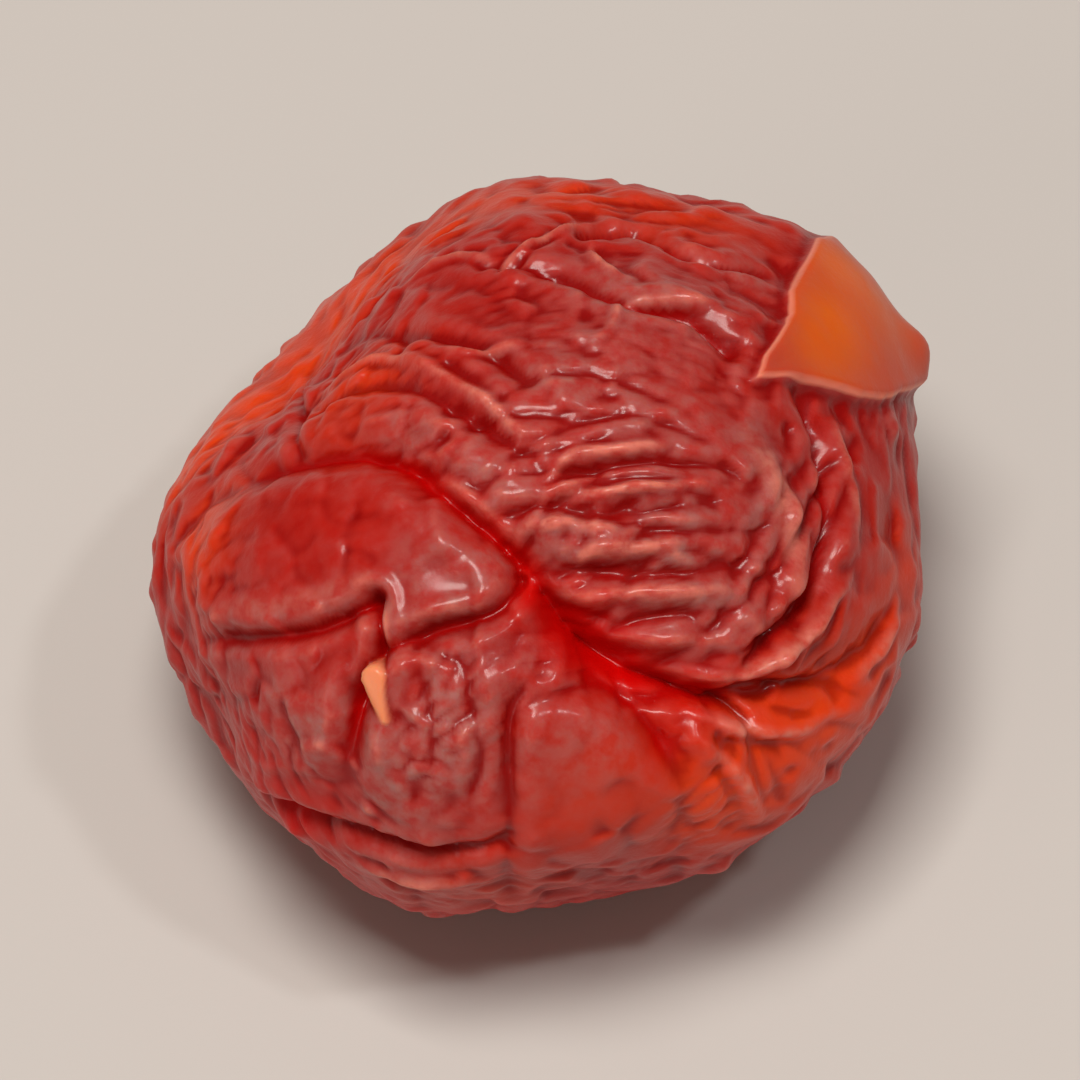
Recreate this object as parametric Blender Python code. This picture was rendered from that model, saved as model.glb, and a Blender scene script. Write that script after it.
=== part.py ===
"""One pitted cherry, sugared and dried, lying on its underside.

The fruit grew as one piece, so it is one solid. Drying has sunk the flesh round the hole that the
stone left: a deep crease curls under a puckered dome on the right, and parts it from a flat tongue
and a lobe on the left and from a smooth belly in front. A torn flap of skin lies on the dome's
shoulder. The underside has the scar where the stone was pushed out, and a small flat spot.

Metres, +Z up, front towards -Y, origin on the ground under the middle of the fruit.
"""

import math

import bmesh
import bpy
import numpy as np
from mathutils import Vector, noise

MM = 0.001

# Driving dimensions, in millimetres
WIDTH = 21.0
DEPTH = 22.0
HEIGHT = 17.0
REST_SINK = 0.30
REST_SOFTNESS = 0.12
REST_SNAP = 0.02

# How fine the raw surface is, and how many triangles the finished one keeps
GRID_CUTS = 79
TRIANGLES = 10800

SKIN_COLOUR = (0.42, 0.018, 0.014, 1.0)
SKIN_ROUGHNESS = 0.32

# The top creases are sketched on a plane that looks down on the fruit from the front
SKETCH_ELEVATION = math.radians(54)
RIGHT = np.array([1.0, 0.0, 0.0])
UP = np.array([0.0, math.sin(SKETCH_ELEVATION), math.cos(SKETCH_ELEVATION)])
FACING = np.cross(RIGHT, UP)
NEAR, FAR = 1, -1

# Plain body, an ellipsoid about the fruit's middle
HALF = np.array([WIDTH, DEPTH, HEIGHT]) / 2

# Swellings and hollows: right, up, side, radius, height, all but the side in millimetres
SWELLINGS = (
    (9.4, 6.2, NEAR, 3.4, 1.42),
    (-6.2, 7.8, NEAR, 4.6, -2.1),
    (-9.0, 4.6, NEAR, 3.0, -1.5),
    (3.6, 9.2, NEAR, 2.6, -0.35),
    (-8.2, 4.2, FAR, 3.0, -0.4),
    (-6.0, 9.2, NEAR, 3.0, -0.8),
    (-5.0, 7.0, FAR, 3.0, -0.3),
    (-7.6, -6.4, NEAR, 3.0, -0.5),
    (-9.6, -3.8, NEAR, 2.4, -0.6),
    (2.8, -9.4, NEAR, 2.2, -0.5),
    (8.2, -5.8, NEAR, 2.6, 0.45),
    (10.4, -3.0, NEAR, 2.6, 0.45),
    (4.2, 1.9, NEAR, 3.7, 1.15),
    (-4.5, 0.0, NEAR, 2.0, 0.1),
    (-1.6, -0.7, NEAR, 1.3, 0.2),
    (-2.9, -5.0, NEAR, 2.4, 0.6),
    (1.9, -6.8, NEAR, 2.0, 0.15),
    (-6.2, 4.6, NEAR, 2.6, -0.4),
    (2.1, -2.4, NEAR, 1.2, -0.8),
    (4.1, -3.8, NEAR, 1.0, -0.3),
    (-3.0, 2.0, FAR, 4.2, 0.8),
    (5.0, -3.0, FAR, 3.6, 0.6),
    (-7.0, -4.0, FAR, 2.8, -0.7),
    (1.5, 7.0, FAR, 2.6, -0.6),
    (0.4, -4.9, FAR, 2.6, 0.15),
)

# Where the middle of the swollen fruit lies from the middle of its plain body
SWOLLEN_MIDDLE = np.array([0.78, -0.31, 0.12])
# Rounds in which a sketched place is found again on the swollen body
PLACING_ROUNDS = 4

# Creases: side, half-width, then the route as right, up and depth
CREASES = (
    # the deep crease that curls under the dome
    (NEAR, 0.52, ((-9.4, 0.9, 0.1), (-8.0, 1.7, 0.3), (-6.8, 2.2, 0.5), (-5.2, 2.5, 0.7), (-3.6, 2.2, 0.8),
                  (-2.2, 1.2, 0.9), (-0.6, 0.0, 0.9), (0.4, -1.3, 0.7), (1.8, -2.7, 0.6),
                  (4.1, -3.8, 0.6), (6.4, -3.9, 0.5), (8.0, -3.4, 0.4), (9.2, -2.4, 0.2))),
    # the open hollow that the deep crease widens into
    (NEAR, 1.1, ((-1.6, 0.6, 0.1), (-0.1, -1.3, 0.5), (1.2, -2.6, 0.8), (2.9, -3.6, 0.6),
                 (5.2, -4.1, 0.3))),
    # the line below the ledge on the left
    (NEAR, 0.24, ((-9.0, -2.5, 0.15), (-7.4, -2.4, 0.4), (-6.0, -2.2, 0.5), (-4.4, -1.4, 0.6))),
    # the lower edge of the tongue's end
    (NEAR, 0.26, ((-4.1, -2.7, 0.5), (-2.8, -2.2, 0.6), (-1.4, -1.8, 0.5), (-0.6, -1.0, 0.4),
                  (-0.9, 0.0, 0.1))),
    # the tear below the tongue
    (NEAR, 0.24, ((-4.4, -1.3, 0.4), (-4.3, -2.4, 0.6), (-4.5, -3.4, 0.8))),
    (NEAR, 0.40, ((-4.6, -3.2, 0.3), (-4.9, -4.0, 0.9), (-5.1, -4.9, 0.7), (-5.3, -5.9, 0.2))),
    # the dark pocket at the lower left
    (NEAR, 0.42, ((-7.4, -6.6, 0.3), (-6.7, -7.0, 0.7), (-5.9, -7.4, 0.4))),
    # the groove between the left lobe and the belly
    (NEAR, 0.30, ((-0.2, -3.6, 0.1), (-0.8, -4.2, 0.35), (-0.9, -5.4, 0.3), (-0.8, -6.8, 0.2),
                  (-0.9, -8.2, 0.2), (-0.8, -9.4, 0.1))),
    # the edge of the belly towards the fan of folds
    (NEAR, 0.42, ((1.2, -3.5, 0.3), (2.2, -4.2, 0.5), (3.2, -5.2, 0.4), (3.7, -6.4, 0.2),
                  (3.7, -7.8, 0.1))),
    # the upper edge of the belly
    (NEAR, 0.26, ((-0.7, -4.4, 0.1), (0.3, -4.0, 0.18), (1.3, -3.9, 0.18), (2.1, -4.3, 0.1))),
    # folds of the left shoulder
    (NEAR, 0.26, ((-6.6, 4.2, 0.1), (-6.6, 3.4, 0.3), (-6.6, 2.6, 0.2))),
    (NEAR, 0.26, ((-6.3, 3.4, 0.2), (-5.0, 4.05, 0.3), (-3.6, 4.2, 0.35), (-2.2, 3.5, 0.4),
                  (-0.2, 2.4, 0.2))),
    (NEAR, 0.26, ((-4.6, 5.7, 0.1), (-3.6, 5.6, 0.25), (-1.6, 5.2, 0.35), (-0.4, 4.4, 0.3))),
    # the longest folds across the dome
    (NEAR, 0.22, ((0.2, 2.2, 0.1), (1.6, 2.15, 0.3), (3.4, 2.3, 0.35), (5.1, 2.1, 0.15))),
    (NEAR, 0.22, ((-0.5, 1.2, 0.2), (1.0, 1.1, 0.35), (2.7, 1.0, 0.3), (4.6, 1.2, 0.15))),
    (NEAR, 0.24, ((0.3, -0.4, 0.2), (1.8, -0.5, 0.4), (3.7, -0.6, 0.35), (5.4, -0.4, 0.15))),
    (NEAR, 0.22, ((1.6, -1.6, 0.15), (3.2, -1.7, 0.3), (4.8, -1.6, 0.15))),
    # the rim of the dome on the right
    (NEAR, 0.28, ((7.0, 4.2, 0.2), (7.7, 2.4, 0.5), (7.7, 0.4, 0.5), (7.2, -1.4, 0.6), (5.6, -2.9, 0.3))),
    # folds behind the dome
    (NEAR, 0.28, ((5.2, 5.2, 0.5), (4.0, 6.1, 0.6), (2.4, 6.4, 0.5), (0.6, 7.2, 0.4), (-1.4, 7.4, 0.3))),
    (NEAR, 0.26, ((6.0, 7.3, 0.3), (4.2, 7.6, 0.5), (2.6, 8.4, 0.6), (1.2, 8.3, 0.4))),
    # the fold along the lower left rim
    (NEAR, 0.30, ((-5.8, -7.4, 0.3), (-4.4, -7.8, 0.5), (-3.0, -8.1, 0.6), (-1.8, -8.0, 0.4),
                  (-0.9, -7.7, 0.2))),
    # folds that draw in to the scar on the far side
    (FAR, 0.46, ((-1.4, -1.0, 0.8), (-3.6, -1.6, 1.0), (-6.0, -1.4, 0.8), (-8.6, -0.4, 0.3))),
    (FAR, 0.46, ((-0.6, 0.6, 0.9), (-1.8, 2.8, 1.1), (-2.2, 5.2, 0.9), (-3.4, 7.6, 0.4))),
    (FAR, 0.42, ((1.2, 0.9, 0.9), (2.8, 2.8, 1.0), (5.2, 4.0, 0.8), (7.4, 6.2, 0.4))),
    (FAR, 0.46, ((1.8, -0.6, 0.8), (4.2, -0.4, 1.0), (6.6, -1.2, 0.8), (9.2, -1.0, 0.3))),
    (FAR, 0.38, ((0.9, -1.4, 0.6), (2.8, -3.0, 0.8), (4.8, -4.6, 0.7), (6.4, -6.4, 0.3))),
    (FAR, 0.36, ((-4.6, 4.6, 0.3), (-6.2, 3.4, 0.8), (-7.8, 2.8, 0.6), (-9.4, 1.6, 0.2))),
    (FAR, 0.36, ((1.4, 6.2, 0.3), (3.2, 7.0, 0.7), (4.6, 8.4, 0.5))),
)

# Raised ridges: side, half-width, then the route as right, up and height
RIDGES = (
    # the upper left shoulder
    (NEAR, 0.16, ((-6.0, 4.0, 0.1), (-5.2, 4.45, 0.18), (-4.3, 4.85, 0.22), (-3.2, 4.7, 0.2),
                  (-2.1, 4.15, 0.18), (-1.3, 3.6, 0.18), (-0.5, 2.95, 0.1))),
    (NEAR, 0.18, ((-3.6, 6.8, 0.1), (-3.0, 7.2, 0.2), (-2.2, 7.5, 0.2), (-1.2, 7.5, 0.1))),
    # the ledge at the left of the tongue
    (NEAR, 0.40, ((-9.1, -1.8, 0.05), (-7.5, -1.6, 0.12), (-6.0, -1.3, 0.12), (-4.6, -0.8, 0.1))),
    # the lip of the dome along the deep crease
    (NEAR, 0.20, ((-3.0, 1.85, 0.1), (-2.2, 1.65, 0.3), (-1.3, 0.95, 0.3), (-0.4, 0.3, 0.1))),
    # the lip below the lobe
    (NEAR, 0.22, ((-4.8, -8.4, 0.1), (-3.4, -8.7, 0.25), (-2.0, -8.8, 0.1))),
    # the broad fold down the right of the dome, and those round its lower right
    (NEAR, 0.45, ((5.6, 3.0, 0.1), (6.2, 2.0, 0.25), (6.7, 0.6, 0.25), (6.8, -0.8, 0.15),
                  (6.0, -2.1, 0.05))),
    (NEAR, 0.20, ((2.9, -3.0, 0.1), (5.1, -3.3, 0.25), (7.1, -2.3, 0.25), (8.2, -0.9, 0.1))),
    (NEAR, 0.20, ((8.0, 3.2, 0.1), (8.2, 2.4, 0.25), (8.4, 1.2, 0.2), (8.3, 0.0, 0.1))),
    (NEAR, 0.18, ((8.5, -3.6, 0.1), (9.2, -2.8, 0.25), (9.6, -1.6, 0.1))),
    # the fan at the lower right
    (NEAR, 0.18, ((4.0, -4.4, 0.1), (5.4, -4.9, 0.3), (6.8, -4.9, 0.2), (8.0, -4.4, 0.1))),
    (NEAR, 0.18, ((4.2, -5.2, 0.1), (5.2, -6.0, 0.25), (5.8, -7.2, 0.1))),
)

# A crease or ridge across: how sharply a valley opens and a ridge rises, its lips' share of the depth and
# where they stand, and how strongly and how far it draws the skin in, in half-widths of the crease
VALLEY_POWER = 1.5
RIDGE_POWER = 2.0
LIP = 0.2
LIP_PLACE = 2.1
LIP_SPREAD = 0.9
PINCH = 0.35
PINCH_REACH = 1.6
CREASE_REACH = 5

# Bundles of folds side by side: side, how many, half-width, depth, then where the first, middle and
# last of them start and where they end
BUNDLES = (
    # long folds that run across the dome out of the deep crease
    (NEAR, 7, 0.22, 0.20, ((-3.2, 2.8), (-0.8, 0.5), (2.2, -2.4)), ((3.6, 4.0), (5.2, 1.4), (4.4, -2.0))),
    # folds that fan out of the navel to the lower right wall
    (NEAR, 6, 0.22, 0.26, ((2.6, -3.9), (3.4, -4.1), (4.8, -4.3)), ((4.8, -7.6), (7.2, -6.2), (9.2, -3.8))),
    # folds round the lower right of the dome
    (NEAR, 4, 0.22, 0.28, ((6.4, 2.0), (7.6, 2.8), (9.2, 3.2)), ((2.6, -2.9), (4.6, -3.4), (7.8, -3.2))),
    # folds on the left lobe
    (NEAR, 3, 0.22, 0.18, ((-3.6, -3.2), (-2.8, -3.0), (-1.6, -3.0)),
     ((-4.6, -6.8), (-3.0, -7.2), (-1.4, -6.6))),
)
BUNDLE_BOW = 0.10
BUNDLE_UNEVENNESS = 0.22
BUNDLE_STRENGTH = (0.5, 1.2)
BUNDLE_SEED = 5
# Points along each fold of a bundle: the share of its length, and of its depth there
BUNDLE_PROFILE = np.array([(0, 0.4), (0.3, 1), (0.65, 0.9), (1, 0.2)])

# The scar where the stone came out, on the far side: right, up, radius, depth. Its rim is raised by
# a share of the depth and stands a little outside its radius
SCAR = (0.0, 0.0, 1.5, 1.3)
SCAR_RIM = 0.25
SCAR_RIM_PLACE = 1.7
SCAR_RIM_SPREAD = 0.5

# The torn flap of skin: its corners in the sketch plane, how far it wraps round behind the outline and
# over what distance it passes into the skin there, how high it lies over the swollen body, how gently
# its edge falls, how much and how far in the edge curls up, and how much of the folds under it show
# through. Its outer corner stands off the fruit: right, up, side, radius, height
FLAP_CORNERS = (
    (5.7, 4.35), (6.6, 4.35), (7.2, 4.25), (8.1, 4.0), (8.5, 3.85), (9.2, 3.8), (10.2, 4.1), (11.6, 4.7),
    (11.6, 6.0), (9.2, 8.2), (7.4, 8.0), (7.2, 7.6), (6.85, 7.0), (6.6, 6.6), (6.6, 6.0), (6.25, 5.4),
    (5.9, 4.9),
)
FLAP_WRAP = 2.0
FLAP_FADE = 1.2
FLAP_LIFT = 0.25
FLAP_TIP = (10.2, 4.5, NEAR, 0.5, 0.5)
FLAP_EDGE = 0.05
FLAP_CURL = 0.16
FLAP_CURL_REACH = 0.25
FLAP_SHOWS = 0.12

# Where the skin stayed smooth: right, up, side, radius, and the share of the wrinkles it lacks
SMOOTH_SPOTS = (
    (-6.2, 0.4, NEAR, 1.9, 0.85),
    (-3.2, -0.2, NEAR, 1.3, 0.75),
    (1.3, -6.2, NEAR, 1.7, 0.9),
    (-6.2, 5.6, NEAR, 2.6, 0.8),
    (9.2, 0.0, NEAR, 1.8, 0.5),
    (0.0, -5.0, FAR, 2.4, 0.8),
)

# Which way the small wrinkles run: right, up, side, and the angle in the sketch plane in degrees
GRAIN = (
    (2.0, 1.6, NEAR, 3), (3.6, 0.0, NEAR, 2), (5.6, 2.6, NEAR, 12), (0.0, 2.6, NEAR, -24),
    (3.4, -2.2, NEAR, -6), (6.4, -2.0, NEAR, 38), (7.9, 0.4, NEAR, 84), (9.4, 1.6, NEAR, 92),
    (2.4, 5.6, NEAR, -8), (4.8, 6.6, NEAR, -24), (1.0, 8.4, NEAR, 8), (-2.2, 6.4, NEAR, 24),
    (-5.0, 5.6, NEAR, 42), (-8.6, 2.6, NEAR, 50), (-5.4, 1.2, NEAR, 8), (-2.6, -0.6, NEAR, 26),
    (-8.0, -0.8, NEAR, 10), (-9.4, -3.2, NEAR, 118), (-6.4, -4.4, NEAR, 82), (-3.4, -4.4, NEAR, 64),
    (-3.2, -6.6, NEAR, -22), (-1.6, -9.0, NEAR, -8), (1.6, -6.4, NEAR, 74), (3.6, -5.0, NEAR, -48),
    (6.6, -4.8, NEAR, -14), (4.6, -7.4, NEAR, 66),
    (-5.0, -1.6, FAR, 10), (-2.0, 4.4, FAR, 104), (4.2, 3.4, FAR, 42), (5.6, -0.8, FAR, -6),
    (1.4, -5.0, FAR, 112), (-5.4, 4.4, FAR, 140), (-4.8, -5.6, FAR, 48), (6.0, -5.2, FAR, -44),
    (0.6, 9.0, FAR, 4), (0.4, -9.2, FAR, 2), (9.0, 3.4, FAR, 70), (-9.0, 2.8, FAR, 110),
)
GRAIN_REACH = 2.2

# Folds that follow the grain: how many patches of waves, how far a patch reaches, how far the folds
# lie apart, how high they stand, and the seed
FINE_FOLDS = (620, 1.0, 1.0, 0.10, 11)
COARSE_FOLDS = (240, 2.0, 2.0, 0.26, 23)
# The coarse folds cover the sides and the back, and fade out towards the sketched middle
COARSE_EDGE = 4.5
COARSE_FADE = 1.8
# Their middle height, how rounded they are, how far the waves turn from the grain, and how far the
# folds lean over down the fruit
FOLD_MIDDLE = 0.6
FOLD_ROUNDING = 0.2
FOLD_TURN = 0.3
FOLD_LEAN = 0.7

# Where the folds have sharp valleys and where sharp crests: how far apart those places lie, how far
# the valleys win, and how quickly one turns into the other
CHARACTER_SIZE = 3.0
CHARACTER_MIDDLE = 0.45
CHARACTER_CONTRAST = 2.2

# Uneven swelling of the flesh: size across and height
LUMP_SIZE = 3.6
LUMP_HEIGHT = 0.34


def unit(vectors):
    return vectors / np.linalg.norm(vectors, axis=-1, keepdims=True)


def onto_body(right, up, side):
    """The point of the plain body below a point of the sketch, or on its outline if it lies outside."""
    start = (right * RIGHT + up * UP) / HALF
    ray = FACING / HALF
    middle = -(start @ ray) / (ray @ ray)
    nearest = start + middle * ray
    beyond = 1 - nearest @ nearest
    if beyond < 0:
        return unit(nearest) * HALF
    return (nearest + side * math.sqrt(beyond / (ray @ ray)) * ray) * HALF


def swelling_at(places):
    """How far the swellings push out each place of the plain body."""
    total = np.zeros(len(places))
    for right, up, side, radius, height in SWELLINGS:
        squared = ((places - onto_body(right, up, side)) ** 2).sum(axis=1)
        total += height * np.exp(-squared / (2 * radius**2))
    return total


def moved(places):
    """How far the swelling of the body moves each of its places in the sketch plane."""
    way = unit(places / HALF**2) * swelling_at(places)[:, None] - SWOLLEN_MIDDLE
    return np.stack([way @ RIGHT, way @ UP], axis=1)


def seen_at(right, up, side):
    """The place of the plain body that is seen at a point of the sketch. The far side, which isn't
    seen, is sketched on the plain body itself."""
    place = onto_body(right, up, side)
    if side == NEAR:
        for _ in range(PLACING_ROUNDS):
            place = onto_body(*(np.array([right, up]) - moved(place[None])[0]), side)
    return place


def smooth_route(corners, steps=5):
    """A Catmull-Rom curve through the corners, whose columns may hold more than a place."""
    corners = np.asarray(corners, float)
    padded = np.vstack([2 * corners[0] - corners[1], corners, 2 * corners[-1] - corners[-2]])
    route = []
    for before, start, end, after in zip(padded, padded[1:], padded[2:], padded[3:]):
        for t in np.arange(steps) / steps:
            route.append(
                0.5 * (2 * start + (end - before) * t + (2 * before - 5 * start + 4 * end - after) * t**2
                       + (3 * start - before - 3 * end + after) * t**3)
            )
    route.append(corners[-1])
    return np.array(route)


def on_arc(corners, share):
    """The point a share of the way along the arc through three points."""
    start, middle, end = np.asarray(corners, float)
    return start + share * (4 * middle - 3 * start - end) + share**2 * (2 * start - 4 * middle + 2 * end)


def nearest_on(route, points):
    """For each point: its distance to the route, the way there, and how far along the route that is."""
    distance = np.full(len(points), np.inf)
    way = np.zeros_like(points)
    along = np.zeros(len(points))
    for index, (start, end) in enumerate(zip(route, route[1:])):
        leg = end - start
        share = np.clip((points - start) @ leg / (leg @ leg), 0, 1)
        offset = start + share[:, None] * leg - points
        length = np.linalg.norm(offset, axis=1)
        closer = length < distance
        distance[closer] = length[closer]
        way[closer] = offset[closer]
        along[closer] = index + share[closer]
    return distance, way, along


def near(points, route, reach):
    """The indices of the points that lie within reach of the route's box."""
    low, high = route.min(axis=0) - reach, route.max(axis=0) + reach
    return np.flatnonzero(((points > low) & (points < high)).all(axis=1))


class Surface:
    """The fruit's surface as points on the plain body, with what the features add to them."""

    def __init__(self, directions):
        self.body = directions * HALF
        self.normals = unit(self.body / HALF**2)
        self.height = np.zeros(len(self.body))
        self.shift = np.zeros_like(self.body)

    def swell(self, right, up, side, radius, height):
        centre = onto_body(right, up, side)
        squared = ((self.body - centre) ** 2).sum(axis=1)
        self.height += height * np.exp(-squared / (2 * radius**2))

    def carve(self, route, depths, width):
        """A sharp valley with raised lips, into which the skin on both sides is drawn."""
        touched = near(self.body, route, CREASE_REACH * width)
        distance, way, along = nearest_on(route, self.body[touched])
        depth = np.interp(along, np.arange(len(route)), depths)
        across = distance / width
        lip = np.exp(-(((across - LIP_PLACE) / LIP_SPREAD) ** 2))
        middle = np.exp(-(across ** np.where(depth < 0, RIDGE_POWER, VALLEY_POWER)))
        self.height[touched] += depth * (LIP * lip - middle)
        self.shift[touched] += (PINCH * depth * np.exp(-((across / PINCH_REACH) ** 2)))[:, None] * way

    def crease(self, side, width, corners):
        route = smooth_route(corners)
        places = np.array([seen_at(right, up, side) for right, up, _ in route])
        self.carve(places, route[:, 2], width)

    def bundle(self, side, count, width, depth, starts, ends, generator):
        """Folds side by side between two arcs, none of them quite like its neighbour."""
        for share in (np.arange(count) + 0.5) / count:
            ends_of_fold = [on_arc(arc, share) for arc in (starts, ends)]
            run = ends_of_fold[1] - ends_of_fold[0]
            bow = generator.normal(BUNDLE_BOW, BUNDLE_BOW) * np.array([-run[1], run[0]])
            wander = generator.normal(0, BUNDLE_UNEVENNESS, (len(BUNDLE_PROFILE), 2))
            shares, fullness = BUNDLE_PROFILE.T
            along = shares[:, None]
            places = ends_of_fold[0] + along * run + 4 * along * (1 - along) * bow + wander
            depths = depth * fullness * generator.uniform(*BUNDLE_STRENGTH, len(shares))
            self.crease(side, width, np.column_stack([places, depths]))

    def points(self):
        return self.body + self.shift + self.normals * self.height[:, None]


def grain_at(places):
    """The direction of the wrinkles at each place, blended from the nearby grain marks."""
    marks = np.array([seen_at(right, up, side) for right, up, side, _ in GRAIN])
    angles = np.radians([angle for *_, angle in GRAIN])
    lines = np.cos(angles)[:, None] * RIGHT + np.sin(angles)[:, None] * UP
    outer = lines[:, :, None] * lines[:, None, :]
    squared = ((places[:, None, :] - marks) ** 2).sum(axis=2)
    weights = np.exp(-squared / (2 * GRAIN_REACH**2)) + 1e-6 / squared
    blend = np.einsum("pm,mij->pij", weights, outer)
    normals = unit(places / HALF**2)
    flat = np.eye(3) - normals[:, :, None] * normals[:, None, :]
    _, axes = np.linalg.eigh(flat @ blend @ flat)
    return axes[:, :, -1]


def even_places(count, jitter, generator):
    """Places spread evenly over the plain body along a spiral, each moved a little."""
    index = np.arange(count) + 0.5
    height = 1 - 2 * index / count
    turn = math.pi * (1 + math.sqrt(5)) * index
    ring = np.sqrt(1 - height**2)
    spiral = np.stack([ring * np.cos(turn), ring * np.sin(turn), height], axis=1)
    return unit(spiral + generator.normal(0, jitter, spiral.shape)) * HALF


def waves(surface, patches, reach, spacing, seed):
    """Waves across the grain with a spread of about 1, whose zero lines lie about spacing apart."""
    generator = np.random.default_rng(seed)
    centres = even_places(patches, 0.5 * math.sqrt(4 * math.pi / patches), generator)
    along = grain_at(centres)
    across = np.cross(unit(centres / HALF**2), along)
    turns = generator.normal(0, FOLD_TURN, (patches, 1))
    across = across * np.cos(turns) + along * np.sin(turns)
    phases = generator.uniform(0, 2 * math.pi, patches)
    total = np.zeros(len(surface.body))
    power = np.full(len(surface.body), 1e-9)
    for centre, way, phase in zip(centres, across, phases):
        touched = near(surface.body, centre[None], 3 * reach)
        offset = surface.body[touched] - centre
        weight = np.exp(-(offset**2).sum(axis=1) / (2 * reach**2))
        total[touched] += weight * np.cos(math.pi * (offset @ way) / spacing + phase)
        power[touched] += weight**2
    return total / np.sqrt(power / 2)


def wrinkled_share(surface):
    """How wrinkled the skin is, from 0 on a smooth spot to 1."""
    share = np.ones(len(surface.body))
    for right, up, side, radius, lack in SMOOTH_SPOTS:
        squared = ((surface.body - seen_at(right, up, side)) ** 2).sum(axis=1)
        share *= 1 - lack * np.exp(-((squared / (2 * radius**2)) ** 2))
    return share


def outer_share(surface):
    """From 0 in the middle of the sketch to 1 on the sides and the back."""
    return (1 - np.tanh((surface.body @ FACING - COARSE_EDGE) / COARSE_FADE)) / 2


def lumps(points, size):
    """Even noise, about -0.7 to 0.7, in lumps of the given size."""
    return np.array([noise.noise(Vector(place)) for place in points / size])


def add_folds(surface, patches, reach, spacing, height, seed, share):
    """Folds with sharp valleys in some places and sharp crests in others, which lean over a little."""
    wave = np.abs(waves(surface, patches, reach, spacing, seed))
    rise = np.tanh(np.sqrt(wave**2 + FOLD_ROUNDING**2)) - FOLD_MIDDLE
    character = np.clip(CHARACTER_MIDDLE + CHARACTER_CONTRAST * lumps(surface.body, CHARACTER_SIZE), -1, 1)
    rise *= height * share * character
    down = -UP + surface.normals * (surface.normals @ UP)[:, None]
    surface.height += rise
    surface.shift += FOLD_LEAN * rise[:, None] * down


def add_scar(surface):
    """A pit with a raised rim, on the far side."""
    right, up, radius, depth = SCAR
    centre = onto_body(right, up, FAR)
    across = np.linalg.norm(surface.body - centre, axis=1) / radius
    surface.height -= depth * np.exp(-(across**2))
    surface.height += SCAR_RIM * depth * np.exp(-(((across - SCAR_RIM_PLACE) / SCAR_RIM_SPREAD) ** 2))


def inside_depth(corners, points):
    """How far each 2D point lies inside the outline, or a negative distance outside it."""
    corners = np.asarray(corners, float)
    distance, _, _ = nearest_on(np.vstack([corners, corners[:1]]), points)
    inside = np.zeros(len(points), bool)
    for start, end in zip(corners, np.roll(corners, -1, axis=0)):
        spans = (start[1] > points[:, 1]) != (end[1] > points[:, 1])
        rise = end[1] - start[1] or 1e-9
        crossing = start[0] + (points[:, 1] - start[1]) / rise * (end[0] - start[0])
        inside ^= spans & (points[:, 0] < crossing)
    return np.where(inside, distance, -distance)


def add_flap(surface, swollen):
    """The torn skin lies on the swollen shoulder as a smooth sheet with a crisp edge in front."""
    sketch = np.stack([surface.body @ RIGHT, surface.body @ UP], axis=1)
    depth = inside_depth(FLAP_CORNERS, sketch + moved(surface.body))
    behind = np.clip(-(surface.body @ FACING) - FLAP_WRAP, 0, None)
    cover = (1 + np.tanh(depth / (2 * FLAP_EDGE))) / 2 * np.exp(-((behind / FLAP_FADE) ** 2))
    shows = 1 - (1 - FLAP_SHOWS) * cover
    curl = FLAP_CURL * np.exp(-np.clip(depth, 0, None) / FLAP_CURL_REACH)
    surface.height = surface.height * shows + cover * ((1 - FLAP_SHOWS) * swollen + FLAP_LIFT + curl)
    surface.shift *= shows[:, None]
    surface.swell(*FLAP_TIP)


def settle(points):
    """Flattens the underside softly where the fruit rests, and fits the whole to its driving sizes."""
    ground = REST_SINK - HALF[2]
    above = points[:, 2] - ground
    soft = np.clip((above + REST_SOFTNESS) ** 2 / (4 * REST_SOFTNESS), 0, None)
    soft[above < -REST_SOFTNESS] = 0
    points[:, 2] = np.where(above > REST_SOFTNESS, above, soft)
    low, high = points.min(axis=0), points.max(axis=0)
    middle = (low + high) / 2 * [1, 1, 0]
    return (points - middle) * np.array([WIDTH, DEPTH, HEIGHT]) / (high - low)


def fruit_points(directions):
    """The finished surface in millimetres, for unit directions from the fruit's middle."""
    surface = Surface(directions)
    for swelling in SWELLINGS:
        surface.swell(*swelling)
    swollen = surface.height.copy()
    surface.height += LUMP_HEIGHT * lumps(surface.body, LUMP_SIZE)
    wrinkled = wrinkled_share(surface)
    add_folds(surface, *COARSE_FOLDS, outer_share(surface) * wrinkled)
    add_folds(surface, *FINE_FOLDS, wrinkled)
    generator = np.random.default_rng(BUNDLE_SEED)
    for bundle in BUNDLES:
        surface.bundle(*bundle, generator)
    for crease in CREASES:
        surface.crease(*crease)
    for side, width, corners in RIDGES:
        surface.crease(side, width, [(right, up, -height) for right, up, height in corners])
    add_scar(surface)
    add_flap(surface, swollen)
    return settle(surface.points())


def ball_mesh(name, cuts):
    """A ball of nearly square faces, from a cube cut into a grid and blown up."""
    grid = bmesh.new()
    bmesh.ops.create_cube(grid, size=2)
    bmesh.ops.subdivide_edges(grid, edges=grid.edges[:], cuts=cuts, use_grid_fill=True)
    mesh = bpy.data.meshes.new(name)
    grid.to_mesh(mesh)
    grid.free()
    corners = np.empty(len(mesh.vertices) * 3)
    mesh.vertices.foreach_get("co", corners)
    return mesh, unit(np.tan(corners.reshape(-1, 3) * math.pi / 4))


def skin_material():
    material = bpy.data.materials.new("candied_cherry_skin")
    material.use_nodes = True
    shader = material.node_tree.nodes["Principled BSDF"]
    shader.inputs["Base Color"].default_value = SKIN_COLOUR
    shader.inputs["Roughness"].default_value = SKIN_ROUGHNESS
    shader.inputs["Metallic"].default_value = 0.0
    return material


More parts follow.
